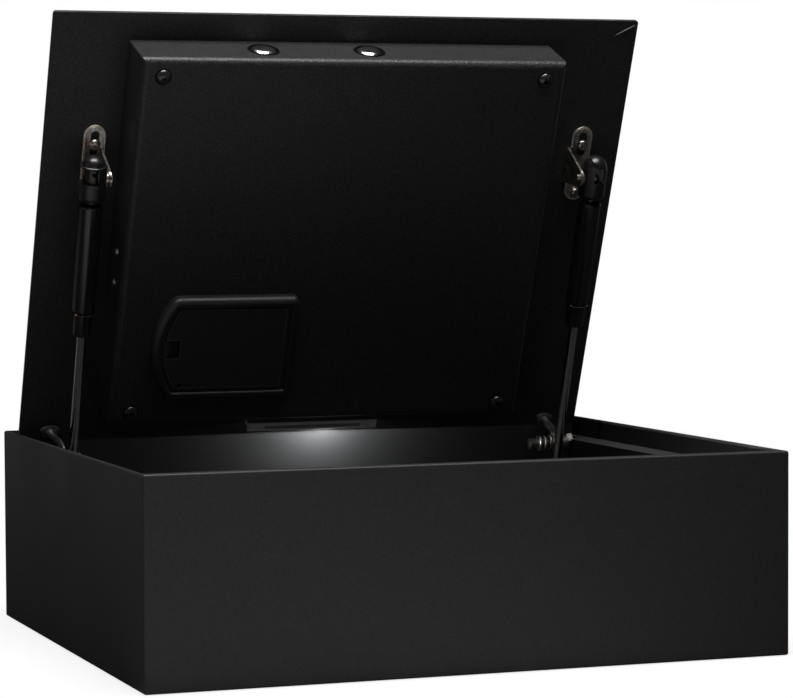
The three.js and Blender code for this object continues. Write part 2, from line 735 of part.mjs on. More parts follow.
// Battery door, with a notch for the latch at its left edge
function batteryDoor() {
  const top = -caseDepth - seat - bezelHeight + doorRecess;
  const panel = plate(bezelOutline(-bezelRim - doorGap), top, top + doorThickness, 0.3, 8);
  const left = caseLeft + bezelLeftInset + bezelRim;
  const middle = caseFront + bezelFrontInset + bezelLength / 2;
  const notch = block(left - 1, left + notchDepth, middle - notchWidth / 2, middle + notchWidth / 2,
    top - 1, top + doorThickness + 1);
  const pryX = left + 12.5;
  const pryY = middle + bezelLength / 2 - bezelRim - 2.8;
  const pryHole = bar([pryX, pryY, top - 1], [pryX, pryY, top + doorThickness + 1], 1.2, 12);
  return cut(panel, notch, pryHole);
}

// Light bar behind the case: a flat channel, open to the rear, with the lamp strip at its inner end
function lightBar() {
  const y0 = caseRear + lightSetback;
  const y1 = y0 + lightLength;
  const x0 = lightMiddle - lightWidth / 2;
  const x1 = lightMiddle + lightWidth / 2;
  const housing = block(x0, x1, y0, y1, -seat - lightHeight, -seat);
  const roof = -seat - lightHeight + lightWall;
  const sole = -seat - lightSole;
  const channel = block(x0 + lightWall, x1 - lightWall, y0 + lightWall, y1 + 1, roof, sole);
  const openEnds = block(x0 - 1, x1 + 1, y0 + lightEnd, y1 + 1, roof, sole);
  return cut(housing, channel, openEnds);
}

function lightLens() {
  const y0 = caseRear + lightSetback + lightWall + seat;
  const half = lensWidth / 2;
  const middle = lightMiddle + lensOffset;
  return block(middle - half, middle + half, y0, y0 + lensLength,
    -seat - lightHeight + lightWall + seat, -seat - lightSole - seat);
}

// Keypad on the lid's outer face
function keypadPanel() {
  const half = keypadWidth / 2;
  const bottom = lidThickness + seat;
  const outline = roundedRectangle(keypadMiddle - half, keypadMiddle + half, keypadFront,
    keypadFront + keypadLength, 8);
  const lock = bar([keyLockX, keyLockY(), bottom - 1], [keyLockX, keyLockY(), bottom + keypadHeight + 1],
    keyLockRadius + runningGap);
  return cut(plate(outline, bottom, bottom + keypadHeight, 0.8), lock);
}

// Override lock: a round plug through the lid, with its keyhole and a cam
function keyLock() {
  const top = lidThickness + seat + keypadHeight;
  const p = (z) => [keyLockX, keyLockY(), z];
  const plug = bar(p(top), p(top - keyLockLength), keyLockRadius);
  const cam = block(keyLockX - 3, keyLockX + keyLockCam, keyLockY() - 3, keyLockY() + 3,
    top - keyLockLength - 2, top - keyLockLength + 0.5);
  const keyhole = block(keyLockX - 0.7, keyLockX + 0.7, keyLockY() - 4, keyLockY() + 4, top - 8, top + 1);
  return cut(join(plug, cam), keyhole);
}

// Lid arm: a flared foot on the lid, a cranked stem and an eye round the pivot pin
function hingeArm(footX, eyeX) {
  const footY = pivotInset - armFootBack;
  const foot = bar([footX, footY, -seat], [footX, footY, -seat - armFootHeight], armFootRadius, 28,
    armStemRadius + 0.6);
  const knee = [eyeX, pivotInset - armFootBack * 0.55, -pivotDrop * 0.72];
  const start = [footX, footY, -seat - armFootHeight + 1.2];
  const stem = bar(start, knee, armStemRadius, 16);
  const joint = ball(knee, armStemRadius, 16);
  const low = bar(knee, [eyeX, pivotInset - eyeRadius * 0.75, -pivotDrop], armStemRadius, 16);
  const centre = (x) => [x, pivotInset, -pivotDrop];
  const eye = bar(centre(eyeX - eyeWidth / 2), centre(eyeX + eyeWidth / 2), eyeRadius, 28);
  const bore = bar(centre(eyeX - eyeWidth), centre(eyeX + eyeWidth), shoulderRadius + runningGap, 24);
  return cut(join(foot, stem, joint, low, eye), bore);
}

// Screw places of the strut brackets: front and rear screw on the left, then on the right
function bracketScrewPlaces() {
  return [-1, 1].flatMap((side) => [bracketScrewFront, bracketScrewRear]
    .map((y) => [side * bracketX, bracketFront + y]));
}

// Bracket plate on the lid with a tab that carries the ball stud
function strutBracket(side) {
  const bottom = -seat - bracketThickness;
  const rear = bracketFront + bracketLength;
  const base = plate(pill(side * bracketX, bracketFront, rear, bracketWidth / 2), bottom, -seat, 0, 10);
  const slotFront = bracketFront + bracketScrewFront - slotLength / 2;
  const slotShape = pill(side * bracketX, slotFront, slotFront + slotLength, panShankRadius + 1);
  const slot = plate(slotShape, bottom - 1, 1);
  const hole = bar([side * bracketX, bracketFront + bracketScrewRear, bottom - 1],
    [side * bracketX, bracketFront + bracketScrewRear, 1], panShankRadius + screwHoleGap, 16);
  const inner = bracketX - bracketWidth / 2;
  const tab = new THREE.Shape();
  tab.moveTo(strutPitch - tabFoot / 2, -seat);
  tab.lineTo(strutPitch - tabFoot / 2, bottom);
  tab.lineTo(strutPitch - tabTipRadius, -strutStandoff);
  tab.absarc(strutPitch, -strutStandoff, tabTipRadius, Math.PI, 2 * Math.PI);
  tab.lineTo(strutPitch + tabFoot / 2, bottom);
  tab.lineTo(strutPitch + tabFoot / 2, -seat);
  const upright = plate(tab, 0, tabThickness, 0, 10)
    .rotate([90, 0, 90])
    .translate([side > 0 ? inner : -inner - tabThickness, 0, 0]);
  const web = cornerBlock(side, inner);
  const studHole = bar([side * (inner - 1), strutPitch, -strutStandoff],
    [side * (inner + tabThickness + 1), strutPitch, -strutStandoff], ballNeckRadius + seat, 20);
  return cut(join(base, upright, web), slot, hole, studHole);
}

// Joins the tab's foot to the plate's inner edge
function cornerBlock(side, inner) {
  const x0 = Math.min(side * inner, side * (inner + bracketWidth / 2));
  const x1 = Math.max(side * inner, side * (inner + bracketWidth / 2));
  return block(x0, x1, strutPitch - tabFoot / 2, strutPitch + tabFoot / 2, -seat - bracketThickness, -seat);
}

// Pan head screw that holds a bracket
function bracketScrew(x, y) {
  const face = -seat - bracketThickness - seat;
  const head = bar([x, y, face], [x, y, face - panHeadHeight], panHeadRadius, 20, panHeadRadius * 0.72);
  const shank = bar([x, y, face - 0.3], [x, y, face + panShankLength], panShankRadius, 16);
  const cross = [0, 1].map((turn) => {
    const long = panHeadRadius * 0.55;
    const [a, b] = turn ? [long, 0.45] : [0.45, long];
    return block(x - a, x + a, y - b, y + b, face - panHeadHeight - 1, face - panHeadHeight + 1.1);
  });
  return cut(join(head, shank), ...cross);
}

// Ball stud riveted in the bracket's tab
function upperBallStud(side) {
  const face = bracketX - bracketWidth / 2 + tabThickness;
  const p = (x) => [side * x, strutPitch, -strutStandoff];
  const flange = bar(p(face + seat), p(face + seat + 1.4), 4.6, 24);
  const tail = bar(p(face - tabThickness - 1.2), p(face + 1), ballNeckRadius, 20);
  const neck = bar(p(face + 0.5), p(strutX), ballNeckRadius, 20);
  return join(flange, tail, neck, ball(p(strutX), ballRadius));
}

// Ball socket on a strut's end: a domed plastic body with a side mouth for the ball stud.
// Its ball is at the origin, the strut runs down from it, and the mouth looks towards mouthSide
function ballSocket(mouthSide) {
  const dome = [];
  const steps = 6;
  for (let i = 0; i <= steps; i += 1) {
    const a = (i / steps) * (Math.PI / 2);
    dome.push([socketRadius * Math.cos(a), socketAbove - socketRadius + socketRadius * Math.sin(a)]);
  }
  const body = turned([[0, -socketBelow], [socketRadius - 0.8, -socketBelow], [socketRadius, -socketBelow + 1],
    ...dome.slice(0, -1), [0, socketAbove]], 26);
  const cavity = ball([0, 0, 0], ballRadius + runningGap);
  const mouth = bar([0, 0, 0], [mouthSide * (socketRadius + 1), 0, 0], ballRadius + runningGap, 20);
  return cut(body, cavity, mouth);
}

// Pressure tube, closed at the top
function strutTube() {
  const end = -tubeStart - tubeLength;
  const outside = turned([[0, end], [tubeRadius - 0.6, end], [tubeRadius, end + 0.6],
    [tubeRadius, -tubeStart - 1], [tubeRadius - 1, -tubeStart], [0, -tubeStart]], 32);
  const bore = bar([0, 0, end - 1], [0, 0, -tubeStart - 4], tubeRadius - tubeWall, 28);
  return cut(outside, bore);
}

// Guide at the tube's open end
function strutEndCap() {
  const top = -tubeStart - tubeLength - seat;
  const sleeve = turned([[0, top - capLength], [capRadius - 0.8, top - capLength],
    [capRadius, top - capLength + 0.8], [capRadius, top], [0, top]], 28);
  const bore = bar([0, 0, top + 1], [0, 0, top - capLength - 1], rodRadius + runningGap, 24);
  return cut(sleeve, bore);
}

// Piston rod with its piston, down to the lower socket
function strutRod() {
  const top = -tubeStart - tubeLength + rodInside;
  const end = -strutExtended + socketBelow + seat;
  const shaft = bar([0, 0, end], [0, 0, top], rodRadius, 24);
  const piston = bar([0, 0, top - 4], [0, 0, top], tubeRadius - tubeWall - runningGap, 24);
  return join(shaft, piston);
}

// The strut's stroke and turn between the open and the closed lid
const safe = new THREE.Group();
const pivot = new THREE.Vector3(0, pivotY, pivotZ);
const lidHinge = new THREE.Group();
lidHinge.position.copy(pivot);
lidHinge.rotation.x = -openAngle;
const lid = new THREE.Group();
lid.position.set(0, -pivotInset, pivotDrop);
lidHinge.add(lid);

// The upper ball with the lid open, and the lower ball at the strut's extended length from it
const upperBall = new THREE.Vector3(0, strutPitch - pivotInset, pivotDrop - strutStandoff)
  .applyAxisAngle(new THREE.Vector3(1, 0, 0), -openAngle)
  .add(pivot);
const lowerBall = upperBall.clone()
  .add(new THREE.Vector3(0, Math.sin(strutLean), -Math.cos(strutLean)).multiplyScalar(strutExtended));

// Pieces of the body
piece(safe, 'body_shell', bodyShell(), blackPaint);
piece(safe, 'floor_mat', floorMat(), foam);
piece(safe, 'strike_plate', strikePlate(), blackPaint);
const rail = sideRail(lowerBall);
piece(safe, 'side_rail_right', rail, blackPaint);
piece(safe, 'side_rail_left', rail.mirror([1, 0, 0]), blackPaint);
for (const side of [-1, 1]) {
  const name = side > 0 ? 'right' : 'left';
  piece(safe, `pivot_pin_${name}`, pivotPin(side), zinc);
  piece(safe, `pivot_washer_${name}`, pivotWasher(side), zinc);
  piece(safe, `pivot_nut_${name}`, pivotNut(side), zinc);
  piece(safe, `lower_stud_${name}`, lowerStud(side, lowerBall), zinc);
}

// Pieces of the lid
piece(lid, 'lid_plate', lidPlate(), blackPaint);
piece(lid, 'lock_case', lockCase(), blackPaint);
caseScrewPlaces().forEach(([x, y], i) => piece(lid, `case_screw_${i + 1}`, caseScrew(x, y), blackSteel));
sideScrewPlaces().forEach((y, i) => piece(lid, `case_side_screw_${i + 1}`, caseSideScrew(y), zinc));
bracketScrewPlaces().forEach(([x, y], i) => piece(lid, `bracket_screw_${i + 1}`, bracketScrew(x, y), zinc));
for (const side of [-1, 1]) {
  const name = side > 0 ? 'right' : 'left';
  piece(lid, `hinge_arm_${name}`, hingeArm(armFootX[name], armFootX[name] + armReach), blackSteel);
  piece(lid, `strut_bracket_${name}`, strutBracket(side), zinc);
  piece(lid, `upper_ball_stud_${name}`, upperBallStud(side), zinc);
  piece(lid, `bolt_bush_${name}`, boltBush(boltMiddle + side * boltSpacing / 2), blackPlastic);
  piece(lid, `locking_bolt_${name}`, lockingBolt(boltMiddle + side * boltSpacing / 2), chrome);
}
piece(lid, 'bolt_carriage', boltCarriage(), zinc);
piece(lid, 'drive_pinion', drivePinion(), zinc);
piece(lid, 'lock_motor', lockMotor(), zinc);
piece(lid, 'circuit_board', circuitBoard(), greenBoard);
piece(lid, 'battery_bezel', batteryBezel(), blackPlastic);
for (let i = 0; i < cellCount; i += 1) piece(lid, `battery_cell_${i + 1}`, batteryCell(i), batteryWrap);
piece(lid, 'battery_door', batteryDoor(), blackPlastic);
piece(lid, 'light_bar', lightBar(), blackPlastic);
piece(lid, 'light_lens', lightLens(), clearLens);
piece(lid, 'keypad_panel', keypadPanel(), blackPlastic);
piece(lid, 'key_lock', keyLock(), chrome);
safe.add(lidHinge);

// The two gas struts, each in a group at its upper ball
for (const side of [-1, 1]) {
  const name = side > 0 ? 'right' : 'left';
  const strut = new THREE.Group();
  strut.position.set(side * strutX, upperBall.y, upperBall.z);
  strut.rotation.x = strutLean;
  piece(strut, `strut_top_socket_${name}`, ballSocket(-side), blackPlastic);
  piece(strut, `strut_tube_${name}`, strutTube(), blackSteel);
  piece(strut, `strut_end_cap_${name}`, strutEndCap(), blackPlastic);
  piece(strut, `strut_rod_${name}`, strutRod(), blackSteel);
  const lower = ballSocket(side).rotate([180, 0, 0]).translate([0, 0, -strutExtended]);
  piece(strut, `strut_lower_socket_${name}`, lower, blackPlastic);
  safe.add(strut);
}

export default safe;
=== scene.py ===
# Home safe with its lid held open on two gas struts. Sizes are in millimetres unless a note says metres.
from math import asin, cos, degrees, pi, radians, sin, sqrt
import bpy
import bmesh
from mathutils import Matrix, Vector

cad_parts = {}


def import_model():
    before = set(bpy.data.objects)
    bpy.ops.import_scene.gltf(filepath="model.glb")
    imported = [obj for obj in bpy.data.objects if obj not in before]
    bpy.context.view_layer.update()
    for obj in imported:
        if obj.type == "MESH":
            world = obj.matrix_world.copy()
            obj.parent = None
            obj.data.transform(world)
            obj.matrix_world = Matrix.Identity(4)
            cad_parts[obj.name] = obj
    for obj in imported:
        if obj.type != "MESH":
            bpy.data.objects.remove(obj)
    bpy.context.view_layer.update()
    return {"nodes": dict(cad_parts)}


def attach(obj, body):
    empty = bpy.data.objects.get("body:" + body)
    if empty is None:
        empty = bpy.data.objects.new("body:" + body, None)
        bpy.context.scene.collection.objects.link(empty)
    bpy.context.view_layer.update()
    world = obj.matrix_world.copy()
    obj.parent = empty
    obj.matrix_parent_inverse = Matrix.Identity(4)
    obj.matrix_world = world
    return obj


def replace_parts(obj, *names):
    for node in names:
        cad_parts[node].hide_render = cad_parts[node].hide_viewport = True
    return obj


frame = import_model()
cadNodes = frame["nodes"]
print("stage: frame loaded,", len(cadNodes), "nodes")

toMetres = Matrix.Scale(0.001, 4)
sides = {"left": -1, "right": 1}
seat = 0.3  # gap between pieces that touch

safeBody = {"width": 400, "depth": 350, "height": 123, "wall": 2, "lip": 7, "corner": 2, "rim": 1.3,
            "anchorX": (-140, 140), "anchorY": (-115, 115), "anchor": 5}
lidSwing = {"pivot": (0, 136, 105.5), "fromFront": 303, "drop": 12.5, "open": 68}
strut = {"x": 170, "fromFront": 100.5, "standoff": 26, "lean": 18.6, "length": 225}


def turnAbout(axis, angle):
    return Matrix.Rotation(radians(angle), 4, axis)


def move(x, y, z):
    return Matrix.Translation((x, y, z))


def around(middle, half):
    return (middle - half, middle + half)


lidInBox = move(*lidSwing["pivot"]) @ turnAbout("X", -lidSwing["open"])
lidInBox = lidInBox @ move(0, -lidSwing["fromFront"], lidSwing["drop"])
lidFrame = toMetres @ lidInBox  # x across, y from the front edge, z out of the safe; the underside is z 0


def strutFrame(side):
    ball = lidInBox @ Vector((side * strut["x"], strut["fromFront"], -strut["standoff"]))
    return toMetres @ move(*ball) @ turnAbout("X", strut["lean"])


bodyFrames = {"box": toMetres, "lid": lidFrame, "bolts": lidFrame, "battery_cover": lidFrame,
              "override_lock": lidFrame}
for name, side in sides.items():
    bodyFrames[f"strut_body_{name}"] = bodyFrames[f"strut_piston_{name}"] = strutFrame(side)


# Shapes

def newObject(name, data):
    piece = bpy.data.objects.new(name, data)
    bpy.context.scene.collection.objects.link(piece)
    return piece


def meshOf(name, bm):
    bmesh.ops.remove_doubles(bm, verts=bm.verts, dist=1e-4)
    bmesh.ops.recalc_face_normals(bm, faces=bm.faces)
    mesh = bpy.data.meshes.new(name)
    bm.to_mesh(mesh)
    bm.free()
    return newObject(name, mesh)


def prism(name, outline, low, high):
    bm = bmesh.new()
    floor = bm.faces.new([bm.verts.new((x, y, low)) for x, y in outline])
    raised = bmesh.ops.extrude_face_region(bm, geom=[floor])
    top = [v for v in raised["geom"] if isinstance(v, bmesh.types.BMVert)]
    bmesh.ops.translate(bm, verts=top, vec=(0, 0, high - low))
    return meshOf(name, bm)


def skinned(name, rings, ends):
    # faces between rings of points, where a ring of one point is a tip; the ends are closed, joined or left
    bm = bmesh.new()
    rings = [[bm.verts.new(point) for point in ring] for ring in rings]
    pairs = list(zip(rings, rings[1:]))
    if ends == "joined":
        pairs.append((rings[-1], rings[0]))
    for low, high in pairs:
        count = max(len(low), len(high))
        for i in range(count):
            j = (i + 1) % count
            loop = [low[i % len(low)], low[j % len(low)], high[j % len(high)], high[i % len(high)]]
            loop = [v for k, v in enumerate(loop) if v not in loop[:k]]
            if len(loop) > 2:
                bm.faces.new(loop)
    if ends == "closed":
        bm.faces.new(rings[0])
        bm.faces.new(rings[-1])
    return meshOf(name, bm)


def stacked(name, layers):
    # outlines of equal length, one above the other, closed at both ends
    return skinned(name, [[(x, y, z) for x, y in outline] for outline, z in layers], "closed")


def block(name, x, y, z):
    return prism(name, [(x[0], y[0]), (x[1], y[0]), (x[1], y[1]), (x[0], y[1])], z[0], z[1])


def turned(name, profile, place=Matrix(), count=40, ring=False):
    angles = [2 * pi * i / count for i in range(count)]
    rings = [[(r * cos(a), r * sin(a), z) for a in angles] if r else [(0, 0, z)] for r, z in profile]
    piece = skinned(name, rings, "joined" if ring else "left")
    piece.data.transform(place)
    return piece


def rod(name, start, end, radius, count=32):
    start, end = Vector(start), Vector(end)
    aim = (end - start).to_track_quat("Z", "Y").to_matrix().to_4x4()
    length = (end - start).length
    profile = [(0, 0), (radius, 0), (radius, length), (0, length)]
    return turned(name, profile, Matrix.Translation(start) @ aim, count)


def tube(name, points, radii, count=20):
    # a round bar that follows points, with its own radius at each
    points = [Vector(p) for p in points]
    angles = [2 * pi * i / count for i in range(count)]
    across, rings = Vector((1, 0, 0)), []
    for i, (point, radius) in enumerate(zip(points, radii)):
        along = (points[min(i + 1, len(points) - 1)] - points[max(i - 1, 0)]).normalized()
        across = (across - along * across.dot(along)).normalized()
        other = along.cross(across)
        rings.append([point + radius * (cos(a) * across + sin(a) * other) for a in angles])
    return skinned(name, rings, "closed")


def curved(points, steps=8):
    # Catmull-Rom points through the given ones
    points = [Vector(p) for p in points]
    ends = [points[0] * 2 - points[1]] + points + [points[-1] * 2 - points[-2]]
    out = []
    for i in range(len(points) - 1):
        a, b, c, d = ends[i:i + 4]
        for k in range(steps):
            t = k / steps
            out.append(0.5 * (2 * b + (c - a) * t + (2 * a - 5 * b + 4 * c - d) * t * t
                              + (3 * b - a - 3 * c + d) * t ** 3))
    return out + [points[-1]]


def arc(x, y, radius, start, end, steps=8):
    turns = [radians(start + (end - start) * i / steps) for i in range(steps + 1)]
    return [(x + radius * cos(a), y + radius * sin(a)) for a in turns]


def roundedRectangle(x, y, radius, steps=6):
    return (arc(x[1] - radius, y[0] + radius, radius, -90, 0, steps)
            + arc(x[1] - radius, y[1] - radius, radius, 0, 90, steps)
            + arc(x[0] + radius, y[1] - radius, radius, 90, 180, steps)
            + arc(x[0] + radius, y[0] + radius, radius, 180, 270, steps))


def pill(x, y, radius, steps=14):
    return arc(x, y[1] - radius, radius, 0, 180, steps) + arc(x, y[0] + radius, radius, 180, 360, steps)


def meshFrom(piece):
    graph = bpy.context.evaluated_depsgraph_get()
    return bpy.data.meshes.new_from_object(piece.evaluated_get(graph))


def bake(piece):
    # the modifiers become part of the mesh
    mesh = meshFrom(piece)
    piece.modifiers.clear()
    old = piece.data
    piece.data = mesh
    bpy.data.meshes.remove(old)
    return piece


def combine(piece, others, how):
    for other in others:
        boolean = piece.modifiers.new(how, "BOOLEAN")
        boolean.operation = how
        boolean.solver = "EXACT"
        boolean.object = other
    bake(piece)
    for other in others:
        bpy.data.objects.remove(other)
    return piece


def cutBy(piece, *tools):
    return combine(piece, tools, "DIFFERENCE")


def joinTo(piece, *others):
    return combine(piece, others, "UNION")


def rounded(piece, width, steps=3, angle=40):
    bevel = piece.modifiers.new("edge", "BEVEL")
    bevel.width = width
    bevel.segments = steps
    bevel.limit_method = "ANGLE"
    bevel.angle_limit = radians(angle)
    bevel.use_clamp_overlap = True
    return bake(piece)


def settle(piece, body, slotName, finish, *stands, smooth=32):
    # moves a piece to its place in metres, shades it and hands it to its body
    mesh = piece.data
    mesh.transform(bodyFrames[body])
    mesh.shade_smooth()
    mesh.set_sharp_from_angle(angle=radians(smooth))
    weighted = piece.modifiers.new("normals", "WEIGHTED_NORMAL")
    weighted.keep_sharp = True
    bake(piece)
    piece.data.materials.clear()
    piece.data.materials.append(finish)
    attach(piece, body)
    if stands:
        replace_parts(piece, *stands)
    return piece


# Finishes

def shaderOf(name, colour, roughness, metallic=0.0, specular=0.5):
    finish = bpy.data.materials.new(name)
    finish.use_nodes = True
    shader = finish.node_tree.nodes["Principled BSDF"]
    shader.inputs["Base Color"].default_value = (*colour, 1)
    shader.inputs["Roughness"].default_value = roughness
    shader.inputs["Metallic"].default_value = metallic
    shader.inputs["Specular IOR Level"].default_value = specular
    return finish, finish.node_tree, shader


def nodeIn(tree, kind, feeds=(), **settings):
    # feeds gives each input its plain value, or the output that drives it
    node = tree.nodes.new("ShaderNode" + kind)
    for name, value in settings.items():
        setattr(node, name, value)
    for name, value in dict(feeds).items():
        if isinstance(value, bpy.types.NodeSocket):
            tree.links.new(value, node.inputs[name])
        else:
            node.inputs[name].default_value = value
    return node


def noiseIn(tree, scale, detail=2.0, stretch=(1, 1, 1)):
    # scale counts lumps per metre
    where = nodeIn(tree, "TexCoord").outputs["Object"]
    mapping = nodeIn(tree, "Mapping", {"Vector": where, "Scale": stretch})
    return nodeIn(tree, "TexNoise", {"Vector": mapping.outputs["Vector"], "Scale": scale, "Detail": detail})


def bumpFrom(tree, shader, noise, height, strength=1.0):
    # height is in metres
    bump = nodeIn(tree, "Bump", {"Strength": strength, "Distance": height, "Height": noise.outputs["Fac"]})
    tree.links.new(bump.outputs["Normal"], shader.inputs["Normal"])


def ranged(tree, value, source=(0, 1), result=(0, 1), kind="LINEAR"):
    # carries a value from one range over to another
    ends = {"From Min": source[0], "From Max": source[1], "To Min": result[0], "To Max": result[1]}
    return nodeIn(tree, "MapRange", {"Value": value, **ends}, interpolation_type=kind).outputs["Result"]


def spread(tree, noise, low, high, socket):
    # lets a number wander between low and high
    tree.links.new(ranged(tree, noise.outputs["Fac"], (0.3, 0.7), (low, high)), socket)


def tones(tree, noise, dark, light, socket):
    # lets a colour wander between dark and light
    ramp = nodeIn(tree, "ValToRGB", {"Fac": noise.outputs["Fac"]})
    for element, place, colour in zip(ramp.color_ramp.elements, (0.35, 0.65), (dark, light)):
        element.position = place
        element.color = (*colour, 1)
    tree.links.new(ramp.outputs["Color"], socket)


def placeIn(tree):
    # across, deep and up, in metres
    return nodeIn(tree, "SeparateXYZ", {0: nodeIn(tree, "TexCoord").outputs["Object"]}).outputs


def blended(tree, share, colour, under):
    # the finish's colour with a plain one, under it at share 0 or over it at share 1
    socket = tree.nodes["Principled BSDF"].inputs["Base Color"]
    ends = [(*colour, 1), socket.links[0].from_socket]
    low, high = ends if under else ends[::-1]
    blend = nodeIn(tree, "MixRGB", {"Fac": share, "Color1": low, "Color2": high})
    tree.links.new(blend.outputs["Color"], socket)


def gleaming(tree, share, low, high):
    tree.links.new(ranged(tree, share, (0, 1), (low, high)),
                   tree.nodes["Principled BSDF"].inputs["Specular IOR Level"])


def greys(*values):
    return [(value, value, value) for value in values]


def finishOf(name, dark, light, blotches, rough, wear=None, relief=None, metal=0.0, gleam=0.5):
    # blotches, wear and relief are noises: lumps per metre, detail, then a stretch or the height and strength
    finish, tree, shader = shaderOf(name, dark, rough[0], metal, gleam)
    tones(tree, noiseIn(tree, *blotches), dark, light, shader.inputs["Base Color"])
    if wear:
        spread(tree, noiseIn(tree, *wear), *rough, shader.inputs["Roughness"])
    if relief:
        bumpFrom(tree, shader, noiseIn(tree, *relief[:2]), *relief[2:])
    return finish


def powderCoat(name, tint=0.021, rough=(0.40, 0.50), grain=0.0002, mottle=0.24):
    return finishOf(name, *greys(tint * (1 - mottle), tint * (1 + mottle)), (1300, 2), rough,
                    wear=(9, 3), relief=(900, 2, grain, 0.7), gleam=0.3)


def shellCoat():
    # painted shade: the inside of the body is painted near black and almost without sheen, told apart by
    # where it lies on the shell
    look = {"coat": (0.003, 0.003, 0.003), "gleam": (0.30, 0.05),
            "within": ((0, 0.1985), (0, 0.1735), (0.0615, 0.0598))}  # middle and half of each span, in metres
    finish = powderCoat("shellCoat")
    tree = finish.node_tree
    inside = 1.0
    for place, (middle, reach) in zip(placeIn(tree), look["within"]):
        near = nodeIn(tree, "Math", {0: place, 1: middle, 2: reach}, operation="COMPARE").outputs[0]
        inside = nodeIn(tree, "Math", {0: inside, 1: near}, operation="MULTIPLY").outputs[0]
    blended(tree, inside, look["coat"], False)
    gleaming(tree, inside, *look["gleam"])
    return finish


def plateCoat():
    # smoother and plainer towards the hinge, where the interior light falls
    look = {"tint": 0.027, "turns": (0.120, 0.132), "relief": (0.08, 0.7), "plain": (0.025, 0.025, 0.025)}
    finish = powderCoat("plateCoat", look["tint"], grain=0.0004, mottle=0.6)
    tree = finish.node_tree
    coarse = ranged(tree, placeIn(tree)[2], look["turns"])
    bump = tree.nodes["Principled BSDF"].inputs["Normal"].links[0].from_node
    tree.links.new(ranged(tree, coarse, (0, 1), look["relief"]), bump.inputs["Strength"])
    blended(tree, coarse, look["plain"], True)
    return finish


def ledgeCoat():
    # painted shade: faces that look up keep the coat and its sheen, the others are painted near black and
    # dull
    look = {"tint": 0.026, "upward": (0.3, 0.8), "dark": (0.002, 0.002, 0.002), "gleam": (0.03, 0.30)}
    finish = powderCoat("ledgeCoat", look["tint"])
    tree = finish.node_tree
    facing = nodeIn(tree, "SeparateXYZ", {0: nodeIn(tree, "NewGeometry").outputs["Normal"]})
    upward = ranged(tree, facing.outputs[2], look["upward"])
    blended(tree, upward, look["dark"], True)
    gleaming(tree, upward, *look["gleam"])
    return finish


def lampPlastic(name, shade, through):
    # frosted; a faint painted glow stands for the little of the lamp's light that comes through
    finish = finishOf(name, *greys(shade * 0.87, shade * 1.13), (90, 2), (0.34, 0.44),
                      wear=(60, 2), relief=(2600, 2, 0.00003, 0.4))
    shader = finish.node_tree.nodes["Principled BSDF"]
    shader.inputs["Emission Color"].default_value = (1, 1, 1, 1)
    shader.inputs["Emission Strength"].default_value = through
    return finish


def lampGlow():
    finish, tree, shader = shaderOf("lampGlow", (0.9, 0.94, 1.0), 0.3)
    shader.inputs["Emission Color"].default_value = (0.93, 0.96, 1.0, 1)
    spread(tree, noiseIn(tree, 600, 1), 2.4, 3.2, shader.inputs["Emission Strength"])
    return finish


coat = powderCoat("powderCoat")
shell = shellCoat()
lidCoat = plateCoat()
caseCoat = powderCoat("caseCoat", 0.0245, (0.32, 0.38), 0.0004, 0.6)
railPaintedShade = ledgeCoat()
lampGrey = lampPlastic("lampGrey", 0.58, 0.009)
lampRecessShade = lampPlastic("lampRecessShade", 0.25, 0.002)
glow = lampGlow()
scuffed = finishOf("scuffedCoat", *greys(0.05, 0.16), (1500, 2), (0.4,), relief=(2000, 1, 0.00003, 0.4))
strutBlack = finishOf("strutPaint", (0.006, 0.006, 0.0065), (0.010, 0.010, 0.0105), (400, 2), (0.16, 0.24),
                      wear=(60, 2, (1, 1, 0.2)), relief=(900, 1, 0.00001, 0.4))
rodSteel = finishOf("polishedRod", (0.38, 0.375, 0.37), (0.48, 0.475, 0.47), (300, 2), (0.05, 0.09),
                    wear=(90, 2, (1, 1, 0.1)), relief=(1200, 1, 0.000006, 0.3), metal=1.0)
screwBlack = finishOf("blackenedSteel", (0.03, 0.03, 0.031), (0.06, 0.06, 0.062), (700, 3), (0.14, 0.22),
                      wear=(300, 2), relief=(1800, 2, 0.00003, 0.4), metal=0.6, gleam=0.7)
zinc = finishOf("zincPlate", (0.38, 0.345, 0.305), (0.68, 0.635, 0.585), (220, 3), (0.24, 0.36),
                wear=(700, 3, (1, 0.3, 0.3)), relief=(1600, 3, 0.00003, 0.5), metal=1.0)
# painted highlight: a paler zinc for the bracket's rim, where light catches its edge
zincRimHighlight = finishOf("paintedRimHighlight", (0.80, 0.70, 0.60), (0.95, 0.90, 0.84), (260, 2), (0.36, 0.46),
                   wear=(300, 2), relief=(1500, 2, 0.00002, 0.4), metal=1.0)
pinGrey = finishOf("pinSteel", (0.12, 0.115, 0.11), (0.27, 0.26, 0.25), (420, 3), (0.34, 0.46),
                   wear=(500, 2), relief=(1500, 2, 0.00002, 0.4), metal=1.0)
armSteel = finishOf("forgedSteel", *greys(0.05, 0.13), (380, 3), (0.32, 0.44),
                    wear=(260, 2), relief=(700, 3, 0.00008, 0.5), metal=0.6)
chrome = finishOf("chromePlate", (0.62, 0.62, 0.64), (0.78, 0.78, 0.80), (90, 3), (0.17, 0.24),
                  wear=(200, 3), relief=(500, 2, 0.00001, 0.3), metal=1.0)
plastic = finishOf("mouldedPlastic", (0.012, 0.012, 0.0125), (0.019, 0.019, 0.0195), (500, 2), (0.42, 0.54),
                   wear=(30, 2), relief=(3200, 2, 0.00004, 0.5))
# painted highlight: a paler plastic for the light line round the battery door, not wear
plasticEdgeHighlight = finishOf("paintedEdgeHighlight", (0.05, 0.05, 0.051), (0.085, 0.085, 0.086), (350, 2), (0.4, 0.5),
                       wear=(60, 2), relief=(2400, 2, 0.00003, 0.4))
socketBlack = finishOf("socketPlastic", (0.007, 0.007, 0.0072), (0.011, 0.011, 0.0113), (420, 2),
                       (0.24, 0.34), wear=(60, 2), relief=(2400, 2, 0.00003, 0.4), gleam=0.45)
